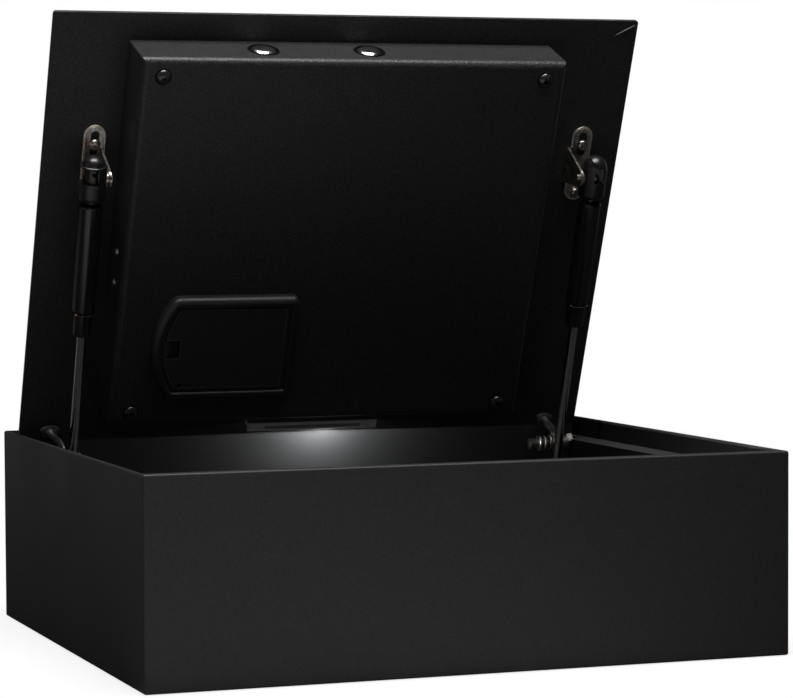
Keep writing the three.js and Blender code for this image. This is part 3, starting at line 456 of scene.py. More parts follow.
foam = finishOf("foamRubber", (0.014, 0.014, 0.015), (0.030, 0.030, 0.032), (1400, 4), (0.92,),
                relief=(1100, 4, 0.0003, 0.8), gleam=0.2)
board = finishOf("solderMask", (0.012, 0.09, 0.035), (0.02, 0.14, 0.05), (250, 2), (0.35,),
                 relief=(900, 2, 0.00008, 0.4))
wrap = finishOf("cellWrap", (0.03, 0.032, 0.036), (0.05, 0.052, 0.058), (120, 2), (0.25,),
                relief=(300, 1, 0.00003, 0.3), metal=0.2)
digitPaint = finishOf("keyPrint", (0.42, 0.44, 0.47), (0.56, 0.58, 0.61), (800, 2), (0.5,), gleam=0.4)
# painted shade: near black and almost without sheen, for rings that stand in shade
hollow = finishOf("paintedShadeBlack", *greys(0.0015, 0.003), (400, 1), (0.9,), gleam=0.1)
print("stage: finishes made")


# Steel body

def bodyShell():
    w, d, h = safeBody["width"] / 2, safeBody["depth"] / 2, safeBody["height"]
    wall, lip = safeBody["wall"], safeBody["lip"]
    body = prism("body_shell_formed", roundedRectangle((-w, w), (-d, d), safeBody["corner"]), 0, h)
    rounded(body, safeBody["rim"], 4)
    inside = block("inside", (wall - w, w - wall), (wall - d, d - wall), (wall, h - wall))
    mouth = block("mouth", (wall - w, w - wall), (lip - d, d - wall), (wall + 1, h + 5))
    anchors = [rod("anchor", (x, y, -1), (x, y, 5), safeBody["anchor"])
               for x in safeBody["anchorX"] for y in safeBody["anchorY"]]
    cutBy(body, inside, mouth, *anchors)
    settle(body, "box", "black_paint", shell, "body_shell")


bodyShell()


# Lid plate, with the posts that the case is screwed to

lidPlate = {"half": 196.9, "length": 334.69, "thick": 5, "corner": 2, "lock": (44, 67, 7.3),
            "post": 4, "postEnd": -33.2, "postX": (-133.5, 120.9), "postY": (29.5, 259), "postBore": 2.7,
            "boreTop": -24, "tap": 2.4,
            "layers": ((-0.2, 0), (0, 0.25), (0, 2.4), (-0.5, 3.9), (-1.9, 5))}


def lidSlab():
    half, length, end, corner = (lidPlate[key] for key in ("half", "length", "postEnd", "corner"))
    layers = [(roundedRectangle((-half - grow, half + grow), (-grow, length + grow), corner + grow / 2), z)
              for grow, z in lidPlate["layers"]]
    slab = stacked("lid_plate_formed", layers)
    places = [(x, y) for y in lidPlate["postY"] for x in lidPlate["postX"]]
    joinTo(slab, *[rod("post", (x, y, 0.5), (x, y, end), lidPlate["post"]) for x, y in places])
    bores = [rod("bore", (x, y, end - 1), (x, y, lidPlate["boreTop"]), lidPlate["postBore"])
             for x, y in places]
    spots = [(side * bracket["x"][name], y) for name, side in sides.items() for y in bracket["screws"]]
    taps = [rod("tap", (x, y, -1), (x, y, 4), lidPlate["tap"], 20) for x, y in spots]
    x, y, radius = lidPlate["lock"]
    bores.append(rod("lock", (x, y, -1), (x, y, lidPlate["thick"] + 1), radius, 44))
    cutBy(slab, *bores, *taps)
    settle(slab, "lid", "black_paint", lidCoat, "lid_plate")


# Lock case and its screws

lockCase = {"x": (-147.5, 135.6), "y": (17.7, 268), "depth": 35, "sheet": 1.5, "bend": 4.6, "corner": 1.2,
            "bolts": (-64.8, 5.6), "boltDepth": 16.5, "boltBore": 10.4, "screw": (4.75, 2.8, 1.15),
            "sideScrews": (152.8, 173.7), "sideDepth": 19, "window": (-107, -35, 182, 242)}


def caseCover():
    x, y, depth, sheet = lockCase["x"], lockCase["y"], lockCase["depth"], lockCase["sheet"]
    bend, corner = lockCase["bend"], lockCase["corner"]
    folds = [(0, 8)] + [(bend * (1 - cos(a)), bend * (1 - sin(a)) - depth)
                        for a in [radians(15 * i) for i in range(7)]]
    layers = [(roundedRectangle((x[0] + inset, x[1] - inset), (y[0] + inset, y[1] - inset),
                                max(corner - inset, 0.25)), z) for inset, z in folds]
    cover = stacked("lock_case_folded", layers)
    inner = block("inner", (x[0] + sheet, x[1] - sheet), (y[0] + sheet, y[1] - sheet),
                  (2.2 * sheet - depth, 20))
    above = block("above", (x[0] - 5, x[1] + 5), (y[0] - 5, y[1] + 5), (-seat, 20))
    left, right, near, far = lockCase["window"]
    window = block("window", (left, right), (near, far), (-depth - 2, 2 * sheet - depth))
    level, bore = -lockCase["boltDepth"], lockCase["boltBore"]
    bores = [rod("bore", (b, y[0] - 2, level), (b, y[0] + 4, level), bore, 48) for b in lockCase["bolts"]]
    cutBy(cover, inner, above, window, *bores)
    settle(cover, "lid", "black_paint", caseCoat, "lock_case")


def buttonScrew(name, x, y):
    face = -lockCase["depth"] - seat
    radius, height, sweep = lockCase["screw"]  # the dome bends through sweep, in radians
    dome = [(radius * cos(a), -0.5 - (height - 0.5) * sin(a) / sin(sweep))
            for a in [sweep * i / 8 for i in range(9)]]
    profile = [(0, 8), (2.4, 8), (2.4, 0), (radius - 0.2, 0), (radius, -0.2)] + dome
    profile += [(2.0, -height - 0.02), (0, -height - 0.02)]
    screw = turned(name, profile, move(x, y, face), 40)
    socket = prism("socket", arc(x, y, 2.0, 30, 390, 6)[:-1], face - height - 1, face - 0.7)
    cutBy(screw, socket)
    # painted shade: a thin near-black ring round the head stands for the shade in the gap between screw and
    # case
    rim = [(4.0, -0.02), (4.0, -0.32), (5.2, -0.32), (5.4, -0.02)]
    ring = turned(f"{name}_seat", rim, move(x, y, face), 40, ring=True)
    settle(ring, "lid", "black_plastic", hollow)
    return settle(screw, "lid", "black_steel", screwBlack)


def sideScrew(name, y):
    face = lockCase["x"][0] - seat
    depth = lockCase["sideDepth"]
    aim = move(face, y, -depth) @ turnAbout("Y", -90)
    head = [(0, -6), (1.1, -6), (1.1, 0), (2.1, 0), (2.2, 0.2), (1.9, 0.8), (1.2, 1.15), (0, 1.2)]
    screw = turned(name, head, aim, 28)
    slots = [block("slot", (face - 2, face - 0.7), around(y, a), (-depth - b, -depth + b))
             for a, b in ((1.2, 0.3), (0.3, 1.2))]
    cutBy(screw, *slots)
    return settle(screw, "lid", "zinc", zinc)


caseCover()
places = [(x, y) for y in lidPlate["postY"] for x in lidPlate["postX"]]
for number, (x, y) in enumerate(places, 1):
    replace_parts(buttonScrew(f"case_screw_turned_{number}", x, y), f"case_screw_{number}")
for number, y in enumerate(lockCase["sideScrews"], 1):
    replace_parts(sideScrew(f"case_side_screw_turned_{number}", y), f"case_side_screw_{number}")
print("stage: lock case made")


# Locking bolts and their bushes

boltShape = {"radius": 9, "length": 42, "dome": 1.4, "bush": 9.95}


def boltAxis(x):
    return move(x, lockCase["y"][0], -lockCase["boltDepth"]) @ turnAbout("X", -90)


def lockingBolt(side, x):
    r, long = boltShape["radius"], boltShape["length"]
    tip = [(0, -boltShape["dome"]), (3, -1.36), (5.6, -1.2), (6.5, -0.9), (7.4, -0.35), (8.2, 0.4)]
    profile = tip + [(8.75, 1.3), (r, 2.3), (r, long - 1), (r - 1, long), (0, long)]
    bolt = turned(f"locking_bolt_turned_{side}", profile, boltAxis(x), 56)
    settle(bolt, "bolts", "chrome", chrome, f"locking_bolt_{side}")


def boltBush(side, x):
    r, outer, start = boltShape["radius"] + seat, boltShape["bush"], -seat - 0.35
    profile = [(r, start + 0.4), (r + 0.35, start), (outer - 0.3, start), (outer, start + 0.35),
               (outer, 1.8), (outer + 2.5, 1.8), (outer + 2.5, 4.3), (outer, 4.3), (outer, 8.7), (r, 8.7)]
    bush = turned(f"bolt_bush_moulded_{side}", profile, boltAxis(x), 56, ring=True)
    # painted shade: the bush is painted near black, for the shade round the bolt
    settle(bush, "lid", "black_plastic", hollow, f"bolt_bush_{side}")


for side, x in zip(sides, lockCase["bolts"]):
    lockingBolt(side, x)
    boltBush(side, x)
print("stage: bolts made")


# Battery frame and door

battery = {"x": (-124.6, -29.4), "middle": 212, "half": 35.3, "bow": 57, "corner": 4, "shoulder": 7.8,
           "height": 7, "rim": 7, "slope": 3.9, "fall": 1.7, "doorGap": 0.6, "doorThick": 2, "doorSunk": 0.9,
           "doorEdge": 0.5, "notch": (-117.6, -106.9, 6.25), "hole": (-105.0, 237.4, 1.6)}


def batteryOutline(grow):
    # straight on three sides and bowed on the left, with rounded shoulders where the bow begins
    left, right = battery["x"][0] - grow, battery["x"][1] + grow
    middle, half = battery["middle"], battery["half"] + grow
    bow = battery["bow"] + grow
    radius = max(battery["corner"] + grow, 0.8)
    shoulder = max(battery["shoulder"] + grow, 0.8)
    inward = sqrt((bow - shoulder) ** 2 - (half - shoulder) ** 2)
    sweep = degrees(asin((half - shoulder) / (bow - shoulder)))
    turn = left + bow - inward
    return (arc(right - radius, middle - half + radius, radius, -90, 0, 6)
            + arc(right - radius, middle + half - radius, radius, 0, 90, 6)
            + arc(turn, middle + half - shoulder, shoulder, 90, 180 - sweep, 6)[:-1]
            + arc(left + bow, middle, bow, 180 - sweep, 180 + sweep, 18)
            + arc(turn, middle - half + shoulder, shoulder, 180 + sweep, 270, 6)[1:])


def batteryFrame():
    face = -lockCase["depth"] - seat
    slope, height = battery["slope"], battery["height"]
    layers = [(0, face), (0, face - height + slope)]
    for i in range(1, 10):
        a = radians(i * 10)
        layers.append((-slope * (1 - cos(a)), face - height + slope * (1 - sin(a))))
    layers.append((-slope - 0.5, face - height + 0.35))
    layers.append((-slope - 1.0, face - height + battery["fall"]))
    layers.append((-battery["rim"] - 0.2, face - height + battery["fall"]))
    ring = stacked("battery_frame_moulded", [(batteryOutline(grow), z) for grow, z in layers])
    opening = prism("opening", batteryOutline(-battery["rim"]), face - 20, face + 1)
    cutBy(ring, opening)
    sunk = face - battery["height"] + battery["doorSunk"] + battery["doorThick"] + battery["doorGap"]
    left, right, near, far = lockCase["window"]
    deck = prism("deck", batteryOutline(0.4 - battery["rim"]), sunk, face - 0.02)
    tray = block("tray", (left + 0.5, right - 0.5), (near + 0.5, far - 0.5), (face - 0.5, -16.6))
    well = block("well", (left + 2, right - 2), (near + 2, far - 2), (sunk - 5, -18))
    joinTo(ring, deck, tray)
    notchLeft, notchRight, half = battery["notch"]
    middle, rimTop = battery["middle"], face - battery["height"]
    pocket = block("pocket", (notchRight - 7.5, notchRight), around(middle, half - 0.4), (sunk - 2, face - 2))
    cutBy(ring, well, pocket)
    settle(ring, "lid", "black_plastic", plastic, "battery_bezel")
    tongueX = notchRight - 7.2
    shelf = block("battery_catch_seat", (notchLeft - 0.4, tongueX), around(middle, half - 0.5),
                  (rimTop + 0.9, sunk + 0.1))
    rounded(shelf, 0.3, 2)
    settle(shelf, "lid", "black_plastic", plastic)
    tongue = block("battery_catch", (tongueX + 0.2, tongueX + 2.2), around(middle, 3.4),
                   (rimTop + 1.2, face - 2.2))
    rounded(tongue, 0.5, 3)
    settle(tongue, "lid", "black_plastic", plastic)


def batteryDoor():
    top = -lockCase["depth"] - seat - battery["height"] + battery["doorSunk"]
    inward, trim, middle = battery["rim"] + battery["doorGap"], battery["doorEdge"], battery["middle"]
    door = prism("battery_door_moulded", batteryOutline(-inward), top, top + battery["doorThick"])
    notchLeft, notchRight, half = battery["notch"]
    span = ((notchLeft - 5, notchRight), around(middle, half), (top - 2, top + 5))
    notch = block("notch", *span)
    x, y, radius = battery["hole"]
    hole = rod("hole", (x, y, top - 2), (x, y, top + 5), radius, 20)
    # painted highlight: a thin band round the door in paler plastic
    edge = prism("battery_door_highlight_edge", batteryOutline(-inward - 0.02), top - 0.05, top + 1.6)
    face = prism("face", batteryOutline(-inward - trim), top - 2, top + 3)
    wider = block("wider", (notchLeft - 5, notchRight + trim), around(middle, half + trim),
                  (top - 4, top + 5))
    cutBy(face, wider)
    near = block("near", *span)
    cutBy(edge, near, face)
    cutBy(door, notch, hole)
    rounded(door, 0.3, 2)
    settle(door, "battery_cover", "black_plastic", plastic, "battery_door")
    settle(edge, "battery_cover", "black_plastic", plasticEdgeHighlight)


batteryFrame()
batteryDoor()
print("stage: battery frame and door made")


# Light bar

lightBar = {"x": (-43.65, 47.65), "y": (277, 283.2, 289.4), "height": 7, "wall": 1.5, "sole": 0.6,
            "lamp": 10.0, "lampHalf": 6}


def interiorLight():
    # a grey hood in front, open towards the hinge, and a black foot behind it that holds the lamp
    x, (back, start, end) = lightBar["x"], lightBar["y"]
    low, high, wall, middle = -seat - lightBar["height"], -seat, lightBar["wall"], lightBar["lamp"]
    hood = block("light_bar_moulded", x, (start, end), (low, high))
    rounded(hood, 0.8, 3)
    channel = block("channel", (x[0] + wall, x[1] - wall), (start - 1, end + 5), (low + wall, high + 1))
    ends = block("ends", (x[0] - 5, x[1] + 5), (start + 2.5, end + 5), (low + wall, high + 1))
    sunk = roundedRectangle((x[0] + 12, x[1] - 12), (start + 2.3, end - 1.7), 0.7)
    recess = prism("recess", sunk, low - 2, low + 0.8)
    cutBy(hood, channel, ends, recess)
    rib = block("rib", (middle - 2.2, middle - 1.6), (start + 1, end - 0.4), (low + 0.5, high - 3))
    joinTo(hood, rib)
    settle(hood, "lid", "grey_plastic", lampGrey, "light_bar")
    # painted shade: a darker inlay sits in the recess to darken it
    inlay = prism("light_bar_recess_shade", sunk, low + 0.35, low + 0.78)
    settle(inlay, "lid", "grey_plastic", lampRecessShade)
    foot = block("light_bar_foot", (x[0] + 0.5, x[1] - 0.5), (back, start + 0.3), (low + 0.4, high))
    rounded(foot, 0.4, 2)
    top = high - lightBar["sole"]
    hole = block("hole", (x[0] + wall, x[1] - wall), (back + wall, start + 5), (low + wall, top))
    cutBy(foot, hole)
    settle(foot, "lid", "black_plastic", plastic)
    reach = lightBar["lampHalf"]
    lamp = block("light_lens_moulded", around(middle, reach), (back + wall + seat, back + wall + 1.9),
                 (low + wall + seat, top - seat))
    rounded(lamp, 0.4, 3)
    settle(lamp, "lid", "clear_lens", glow, "light_lens")


interiorLight()
print("stage: light bar made")


# Strut brackets, their screws and ball studs

bracket = {"x": {"left": 164.4, "right": 169}, "y": (73.9, 125.9), "width": 14.2, "thick": 2,
           "slot": (77.6, 94.2), "slotWidth": 5.4, "border": 1.3, "screws": (86.4, 120.6), "inner": 159,
           "tab": 1.6, "tabFoot": 24, "tabTip": 6}


def lidScuff():
    # a thin raised scratch in the coat near the lid's front right corner
    path = curved([(181.0, 10.9, 0.1), (185.8, 8.0, -0.15), (190.6, 5.4, -0.2), (195.2, 3.0, 0.0)], 5)
    scratch = tube("lid_scuff", path, [0.2 + 0.35 * sin(pi * i / 15) for i in range(len(path))], 8)
    settle(scratch, "lid", "black_paint", scuffed)


def strutBracket(name, side):
    x, y, thick = side * bracket["x"][name], bracket["y"], bracket["thick"]
    low, high = -seat - thick, -seat
    inset, half = bracket["border"], bracket["width"] / 2
    between = (y[0] + inset, y[1] - inset)
    plate = prism(f"strut_bracket_pressed_{name}", pill(x, between, half - inset), low, high)
    # painted highlight: the rim is a separate band in paler zinc
    rim = prism(f"strut_bracket_rim_{name}", pill(x, y, half), low + 0.45, high)
    core = prism("core", pill(x, between, half - inset + 0.05), low - 2, high + 2)
    slot = prism("slot", pill(x, bracket["slot"], bracket["slotWidth"] / 2), low - 2, high + 2)
    hole = rod("hole", (x, bracket["screws"][1], low - 2), (x, bracket["screws"][1], high + 2), 2.4)
    centre, standoff, tip = strut["fromFront"], strut["standoff"], bracket["tabTip"]
    foot = bracket["tabFoot"] / 2
    edge = [(centre - foot, high), (centre - foot, low)] + arc(centre, -standoff, tip, 180, 360, 16)
    edge += [(centre + foot, low), (centre + foot, high)]
    inner = side * bracket["inner"]
    start = inner if side > 0 else inner - bracket["tab"]
    tab = prism("tab", edge, 0, bracket["tab"])
    tab.data.transform(move(start, 0, 0) @ turnAbout("Z", 90) @ turnAbout("X", 90))
    root = block("root", sorted((inner, x)), around(centre, foot), (low, high))
    bore = rod("bore", (inner - side * 2, centre, -standoff), (inner + side * 4, centre, -standoff), 2.8)
    joinTo(plate, tab, root)
    cutBy(plate, slot, hole, bore)
    rounded(plate, 0.32, 3)
    passage = block("passage", sorted((inner - side, x)), around(centre, foot + 0.1), (low - 2, high + 2))
    cutBy(rim, core, passage)
    rounded(rim, 0.3, 3)
    settle(rim, "lid", "zinc", zincRimHighlight)
    settle(plate, "lid", "zinc", zinc, f"strut_bracket_{name}")


def panScrew(name, x, y, turn):
    face = -seat - bracket["thick"] - seat
    profile = [(0, 5.5), (1.9, 5.5), (1.9, 0), (3.5, 0), (3.7, -0.3), (3.55, -1.2), (2.9, -2.1), (2.0, -2.5),
               (0, -2.65)]
    screw = turned(name, profile, move(x, y, face), 36)
    cross = [block("cross", (-a, a), (-b, b), (face - 4, face - 1.2)) for a, b in ((2.1, 0.5), (0.5, 2.1))]
    for arm in cross:
        arm.data.transform(move(x, y, 0) @ turnAbout("Z", turn))
    cutBy(screw, *cross)
    return settle(screw, "lid", "zinc", zinc)


def upperStud(name, side):
    inner = bracket["inner"]
    face = inner + bracket["tab"]
    profile = [(0, inner - 1.3), (2.2, inner - 1.3), (2.5, inner - 1.0), (2.5, face + 0.3), (4.6, face + 0.3),
               (4.6, face + 1.7), (2.5, face + 1.7)]
    reach = strut["x"]
    profile += [(2.5, reach - 3.7)] + [(4.5 * sin(a), reach - 4.5 * cos(a))
                                      for a in [0.6 + (pi - 0.6) * i / 9 for i in range(10)]]
    profile[-1] = (0, profile[-1][1])
    aim = move(0, strut["fromFront"], -strut["standoff"]) @ turnAbout("Y", 90 * side)
    stud = turned(f"upper_ball_stud_turned_{name}", profile, aim, 36)
    settle(stud, "lid", "zinc", zinc, f"upper_ball_stud_{name}")


screwTurns = [12, 50, 35, -20]
lidSlab()
lidScuff()
for name, side in sides.items():
    strutBracket(name, side)
    upperStud(name, side)
spots = [(side * bracket["x"][name], y) for name, side in sides.items() for y in bracket["screws"]]
for number, ((x, y), turn) in enumerate(zip(spots, screwTurns), 1):
    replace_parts(panScrew(f"bracket_screw_turned_{number}", x, y, turn), f"bracket_screw_{number}")
print("stage: lid plate and brackets made")


# Gas struts

socketShape = {"top": 8.8, "lower": 7.4, "above": 15.2, "below": 14.0, "hollow": 4.8, "window": (-2.1, 8.2)}
socketSight = {"left": {"gap": (-12, 4.1), "rear": 5.2, "core": 5.5, "eye": (0, 4.0, 0.9, 5.1),
                        "slit": (4.4, 11.6, -53), "seam": (4.0, 4.7), "dome": (7.2, 5.9), "lip": 0.15},
               "right": {"gap": (0.3, 6.5), "rear": -3.0, "core": 6.6, "eye": (0.6, 3.1, 0.7, 4.0),
                         "slit": (-1.6, 11.8, 40), "seam": (6.3, 6.6), "dome": (8.2, 7.3), "lip": -0.1}}
tubeShape = {"radius": 7.5, "start": 15.6, "length": 72.3, "bore": 6.3}
capShape = {"radius": 6.1, "length": 16.2, "bore": 3.3}
rodShape = {"radius": 3, "inside": 12}


def socketProfile(r, dome, lip):
    above, below = socketShape["above"], socketShape["below"]
    across, tall = dome
    across = min(across, r - 0.5)
    base = above - tall
    cap = [(across * cos(a), base + tall * sin(a)) for a in [pi / 2 * i / 10 for i in range(11)]]
    skirt = [(0, -below), (r - 1.6, -below), (r - 0.7, -below + 0.5), (r - 0.1, -below + 1.7),
             (r, -below + 3.2), (r, base - 0.9), (r + lip, base - 0.7), (r + lip, base - 0.3),
             (r - 0.2, base - 0.05)]
    return skirt + cap[:-1] + [(0, above)]


def ballSocket(name, mouth, radius, sight):
    body = turned(name, socketProfile(radius, sight["dome"], sight["lip"]), Matrix(), 56)
    inner = socketShape["hollow"]
    bowl = [(inner * cos(a), inner * sin(a)) for a in [radians(-80 + 10 * i) for i in range(17)]]
    hollowBall = turned("hollow", [(0, -inner)] + bowl + [(0, inner)], Matrix(), 32)
    mouthBore = rod("mouth", (0, 0, 0), (mouth * 12, 0, 0), inner)
    cutBy(body, hollowBall, mouthBore)
    return body


def openWindow(body, name):
    # an opening seen from the front left that bares the cup round the ball, with a slit in the dome above it
    low, high = socketShape["window"]
    sight = socketSight[name]
    gap = block("gap", sight["gap"], (-12, sight["rear"]), (low, high))
    seam = block("seam", sight["seam"], (-12, -4), (low, high + 2.6))
    cup = rod("cup", (0, 0, low - 0.5), (0, 0, high + 0.5), sight["core"], 40)
    ball = rod("ball", (0, 0, low - 1), (0, 0, high + 1), 4.6, 32)
    left, right, under, over = sight["eye"]
    eye = block("eye", (left, right), (-12, -3), (under, over))
    slit = block("slit", (-2.7, 2.7), (-12, -2), (-0.5, 0.5))
    along, up, lean = sight["slit"]
    slit.data.transform(move(along, 0, up) @ turnAbout("Y", lean))
    for tool in (gap, eye, seam, slit):
        tool.data.transform(turnAbout("Z", -20))
    cutBy(cup, ball, eye)
    for tool in (gap, seam, slit):
        cutBy(body, tool)
    rounded(body, 0.22, 2, 55)
    joinTo(body, cup)
    body.data.validate()
    return body


def gasStrut(name, side):
    top = ballSocket(f"strut_top_socket_moulded_{name}", -side, socketShape["top"], socketSight[name])
    openWindow(top, name)
    settle(top, f"strut_body_{name}", "black_plastic", socketBlack, f"strut_top_socket_{name}")

    r, start, end = tubeShape["radius"], -tubeShape["start"], -tubeShape["start"] - tubeShape["length"]
    bore = tubeShape["bore"]
    outline = [(0, start - 4), (bore, start - 4), (bore, end + 0.2), (r - 0.9, end), (r - 0.3, end + 0.3),
               (r, end + 1.1), (r, start - 2.6), (r - 0.25, start - 1.6), (r - 0.9, start - 0.8),
               (r - 2, start - 0.25), (r - 3.2, start), (0, start)]
    cylinder = turned(f"strut_tube_drawn_{name}", outline, Matrix(), 56)
    settle(cylinder, f"strut_body_{name}", "black_steel", strutBlack, f"strut_tube_{name}")
    outline = [(0, start + 0.2), (3.4, start + 0.2), (3.4, start + 2.0), (0, start + 2.0)]
    neck = turned(f"strut_neck_{name}", outline)
    settle(neck, f"strut_body_{name}", "zinc", zinc)

    r, top = capShape["radius"], end - seat
    low = top - capShape["length"]
    outline = [(capShape["bore"], low), (r - 1.2, low), (r - 0.4, low + 0.4), (r, low + 1.3), (r, top - 2.0),
               (r - 0.35, top - 1.7), (r - 0.35, top - 1.2), (r + 0.2, top - 1.0), (r, top - 0.5),
               (r - 0.6, top), (capShape["bore"], top)]
    cap = turned(f"strut_end_cap_moulded_{name}", outline, Matrix(), 48, ring=True)
    settle(cap, f"strut_body_{name}", "black_plastic", strutBlack, f"strut_end_cap_{name}")

    outline = [(6.0, top - 1.3), (7.0, top - 1.3), (7.5, top - 0.95), (7.65, top - 0.5), (7.5, top - 0.1),
               (7.0, top - 0.02), (6.0, top - 0.02)]
    collar = turned(f"strut_collar_{name}", outline, Matrix(), 48, ring=True)
    settle(collar, f"strut_body_{name}", "black_steel", rodSteel)

    r, low = rodShape["radius"], -strut["length"] + socketShape["below"] + seat
    high = end + rodShape["inside"]
    head = tubeShape["bore"] - 0.4
    outline = [(0, low), (r - 0.3, low), (r, low + 0.3), (r, high - 4), (head, high - 4), (head, high),
               (0, high)]
    piston = turned(f"strut_rod_drawn_{name}", outline, Matrix(), 40)
    settle(piston, f"strut_piston_{name}", "black_steel", rodSteel, f"strut_rod_{name}")

    lower = ballSocket(f"strut_lower_socket_moulded_{name}", side, socketShape["lower"], socketSight[name])
    lower.data.transform(move(0, 0, -strut["length"]) @ turnAbout("X", 180))
    settle(lower, f"strut_piston_{name}", "black_plastic", socketBlack, f"strut_lower_socket_{name}")


for name, side in sides.items():
    gasStrut(name, side)
print("stage: gas struts made")


# Hinge arms, pins, nuts and washers

hinge = {"arm": {"left": -171, "right": 179}, "reach": 6, "footBack": {"left": 16, "right": 13.8},
         "footRadius": 6.6, "footHeight": 4.6, "stem": 2.6, "eye": 6.5, "eyeWidth": 6, "bore": 4.1,
         "pinEnd": 160, "pinTip": 196.2, "thread": 3.9, "boss": 191.2, "washers": (0, 4.4, 7.9)}


def hingeArm(name):
    eyeX = hinge["arm"][name]
    footX = eyeX - hinge["reach"]
    pivotY, pivotZ = lidSwing["fromFront"], -lidSwing["drop"]
    footY = pivotY - hinge["footBack"][name]
    r, h = hinge["footRadius"], hinge["footHeight"]
    flare = [(0, 0), (r - 0.3, 0), (r, -0.4), (r, -2.2), (r - 0.5, -2.8), (r - 2.2, -3.1),
             (hinge["stem"] + 0.8, -3.7), (hinge["stem"] + 0.2, -h), (0, -h)]
    flat = Matrix.Diagonal((1, 0.6, 1, 1))
    foot = turned(f"hinge_arm_forged_{name}", flare, move(footX, footY, -seat) @ flat, 44)
    route = curved([(footX, footY, -seat - 1.5), (footX + 0.5, footY + 1.0, -5.2),
                    (eyeX - 1.2, footY + 5.4, -8.6), (eyeX, footY + 7.6, -9.8),
                    (eyeX, pivotY - 4.2, -11.6), (eyeX, pivotY - 2, pivotZ)], 6)
    widths = [hinge["stem"] + 0.1 * sin(3 * pi * i / (len(route) - 1)) for i in range(len(route))]
    stem = tube("stem", route, widths, 20)
    half = hinge["eyeWidth"] / 2
    ringShape = [(hinge["bore"], -half), (hinge["eye"] - 0.6, -half), (hinge["eye"], 0.6 - half),
                 (hinge["eye"], half - 0.6), (hinge["eye"] - 0.6, half), (hinge["bore"], half)]
    axle = move(eyeX, pivotY, pivotZ) @ turnAbout("Y", 90)
    eye = turned("eye", ringShape, axle, 44, ring=True)
    bore = rod("bore", (eyeX - 8, pivotY, pivotZ), (eyeX + 8, pivotY, pivotZ), hinge["bore"], 44)
    joinTo(foot, stem, eye)
    cutBy(foot, bore)
    settle(foot, "lid", "black_steel", armSteel, f"hinge_arm_{name}", smooth=40)


def threadProfile(radius, start, end, pitch=0.8, depth=0.2):
    count = int((end - start) / pitch)
    out = []
    for i in range(count):
        z = start + i * pitch
        out += [(radius - depth, z), (radius, z + pitch * 0.35), (radius, z + pitch * 0.6),
                (radius - depth, z + pitch)]
    return out


def pinAxis(side):
    return move(0, *lidSwing["pivot"][1:]) @ turnAbout("Y", 90 * side)


def pivotPin(name, side):
    eye = abs(hinge["arm"][name])
    shoulder = eye - hinge["eyeWidth"] / 2
    nutStart = hinge["boss"] - seat - 7
    profile = [(0, hinge["pinEnd"]), (2.2, hinge["pinEnd"])]
    profile += threadProfile(hinge["thread"], hinge["pinEnd"] + 0.3, shoulder - 2.1)
    profile += [(3, shoulder - 2.0), (3, shoulder - 1.2), (3.8, shoulder - 0.3), (3.8, nutStart - seat),
                (3, nutStart - seat), (3, hinge["pinTip"]), (0, hinge["pinTip"])]
    pin = turned(f"pivot_pin_turned_{name}", profile, pinAxis(side), 36)
    settle(pin, "box", "zinc", pinGrey, f"pivot_pin_{name}")


def pivotWashers(name, side):
    outer = abs(hinge["arm"][name]) - hinge["eyeWidth"] / 2 - seat
    for number, back in enumerate(hinge["washers"]):
        far = outer - back
        ringShape = [(4, far - 1.5), (4.9, far - 1.5), (5.3, far - 1.2), (5.3, far - 0.3), (4.9, far),
                     (4, far)]
        washer = turned(f"pivot_washer_turned_{name}_{number + 1}", ringShape, pinAxis(side), 44, ring=True)
        stands = [] if number else [f"pivot_washer_{name}"]
        settle(washer, "box", "zinc", zinc, *stands)


def pivotNut(name, side):
    outer = hinge["boss"] - seat
    nut = prism(f"pivot_nut_turned_{name}", arc(0, 0, 6.5, 15, 375, 6)[:-1], outer - 3.8, outer)
    slant = [(0, outer - 10), (3.4, outer - 7.2), (6.6, outer - 3.2), (6.6, outer + 1), (0, outer + 1)]
    chamfer = turned("chamfer", slant, Matrix(), 44)
    flank = [(0, outer - 7), (4.0, outer - 7), (4.3, outer - 6.6), (5.6, outer - 3.7), (0, outer - 3.7)]
    cone = turned("cone", flank, Matrix(), 44)
    combine(nut, [chamfer], "INTERSECT")
    joinTo(nut, cone)
    bore = rod("bore", (0, 0, outer - 12), (0, 0, outer + 4), 3.3)
    cutBy(nut, bore)
    nut.data.transform(pinAxis(side))
    settle(nut, "box", "zinc", pinGrey, f"pivot_nut_{name}")


for name, side in sides.items():
    hingeArm(name)
    pivotPin(name, side)
    pivotWashers(name, side)
    pivotNut(name, side)
print("stage: hinge made")


# Keypad on the outer face

keypad = {"x": (-65.3, 52.7), "y": (34, 100), "base": 5.3, "height": 2.6, "lock": (44, 67), "lockRadius": 7,
          "key": 13.5, "columns": (-54, -38, -22, -6, 10), "rows": (76, 56), "digit": 8.5}


def squareAround(x, y, half, radius):
    return roundedRectangle(around(x, half), around(y, half), radius)


def keypadPanel():
    low, high = keypad["base"], keypad["base"] + keypad["height"]
    panel = prism("keypad_panel_moulded", roundedRectangle(keypad["x"], keypad["y"], 8, 10), low, high)
    rounded(panel, 0.9, 4, 50)
    cx, cy = keypad["lock"]
    lockHole = rod("hole", (cx, cy, low - 2), (cx, cy, high + 2), keypad["lockRadius"] + seat, 44)
    half = keypad["key"] / 2
    dips = [prism("dip", squareAround(x, y, half, 3), high - 0.9, high + 2)
            for x in keypad["columns"] for y in keypad["rows"]]
    cutBy(panel, lockHole, *dips)
    rounded(panel, 0.2, 2, 60)
    settle(panel, "lid", "black_plastic", plastic, "keypad_panel")


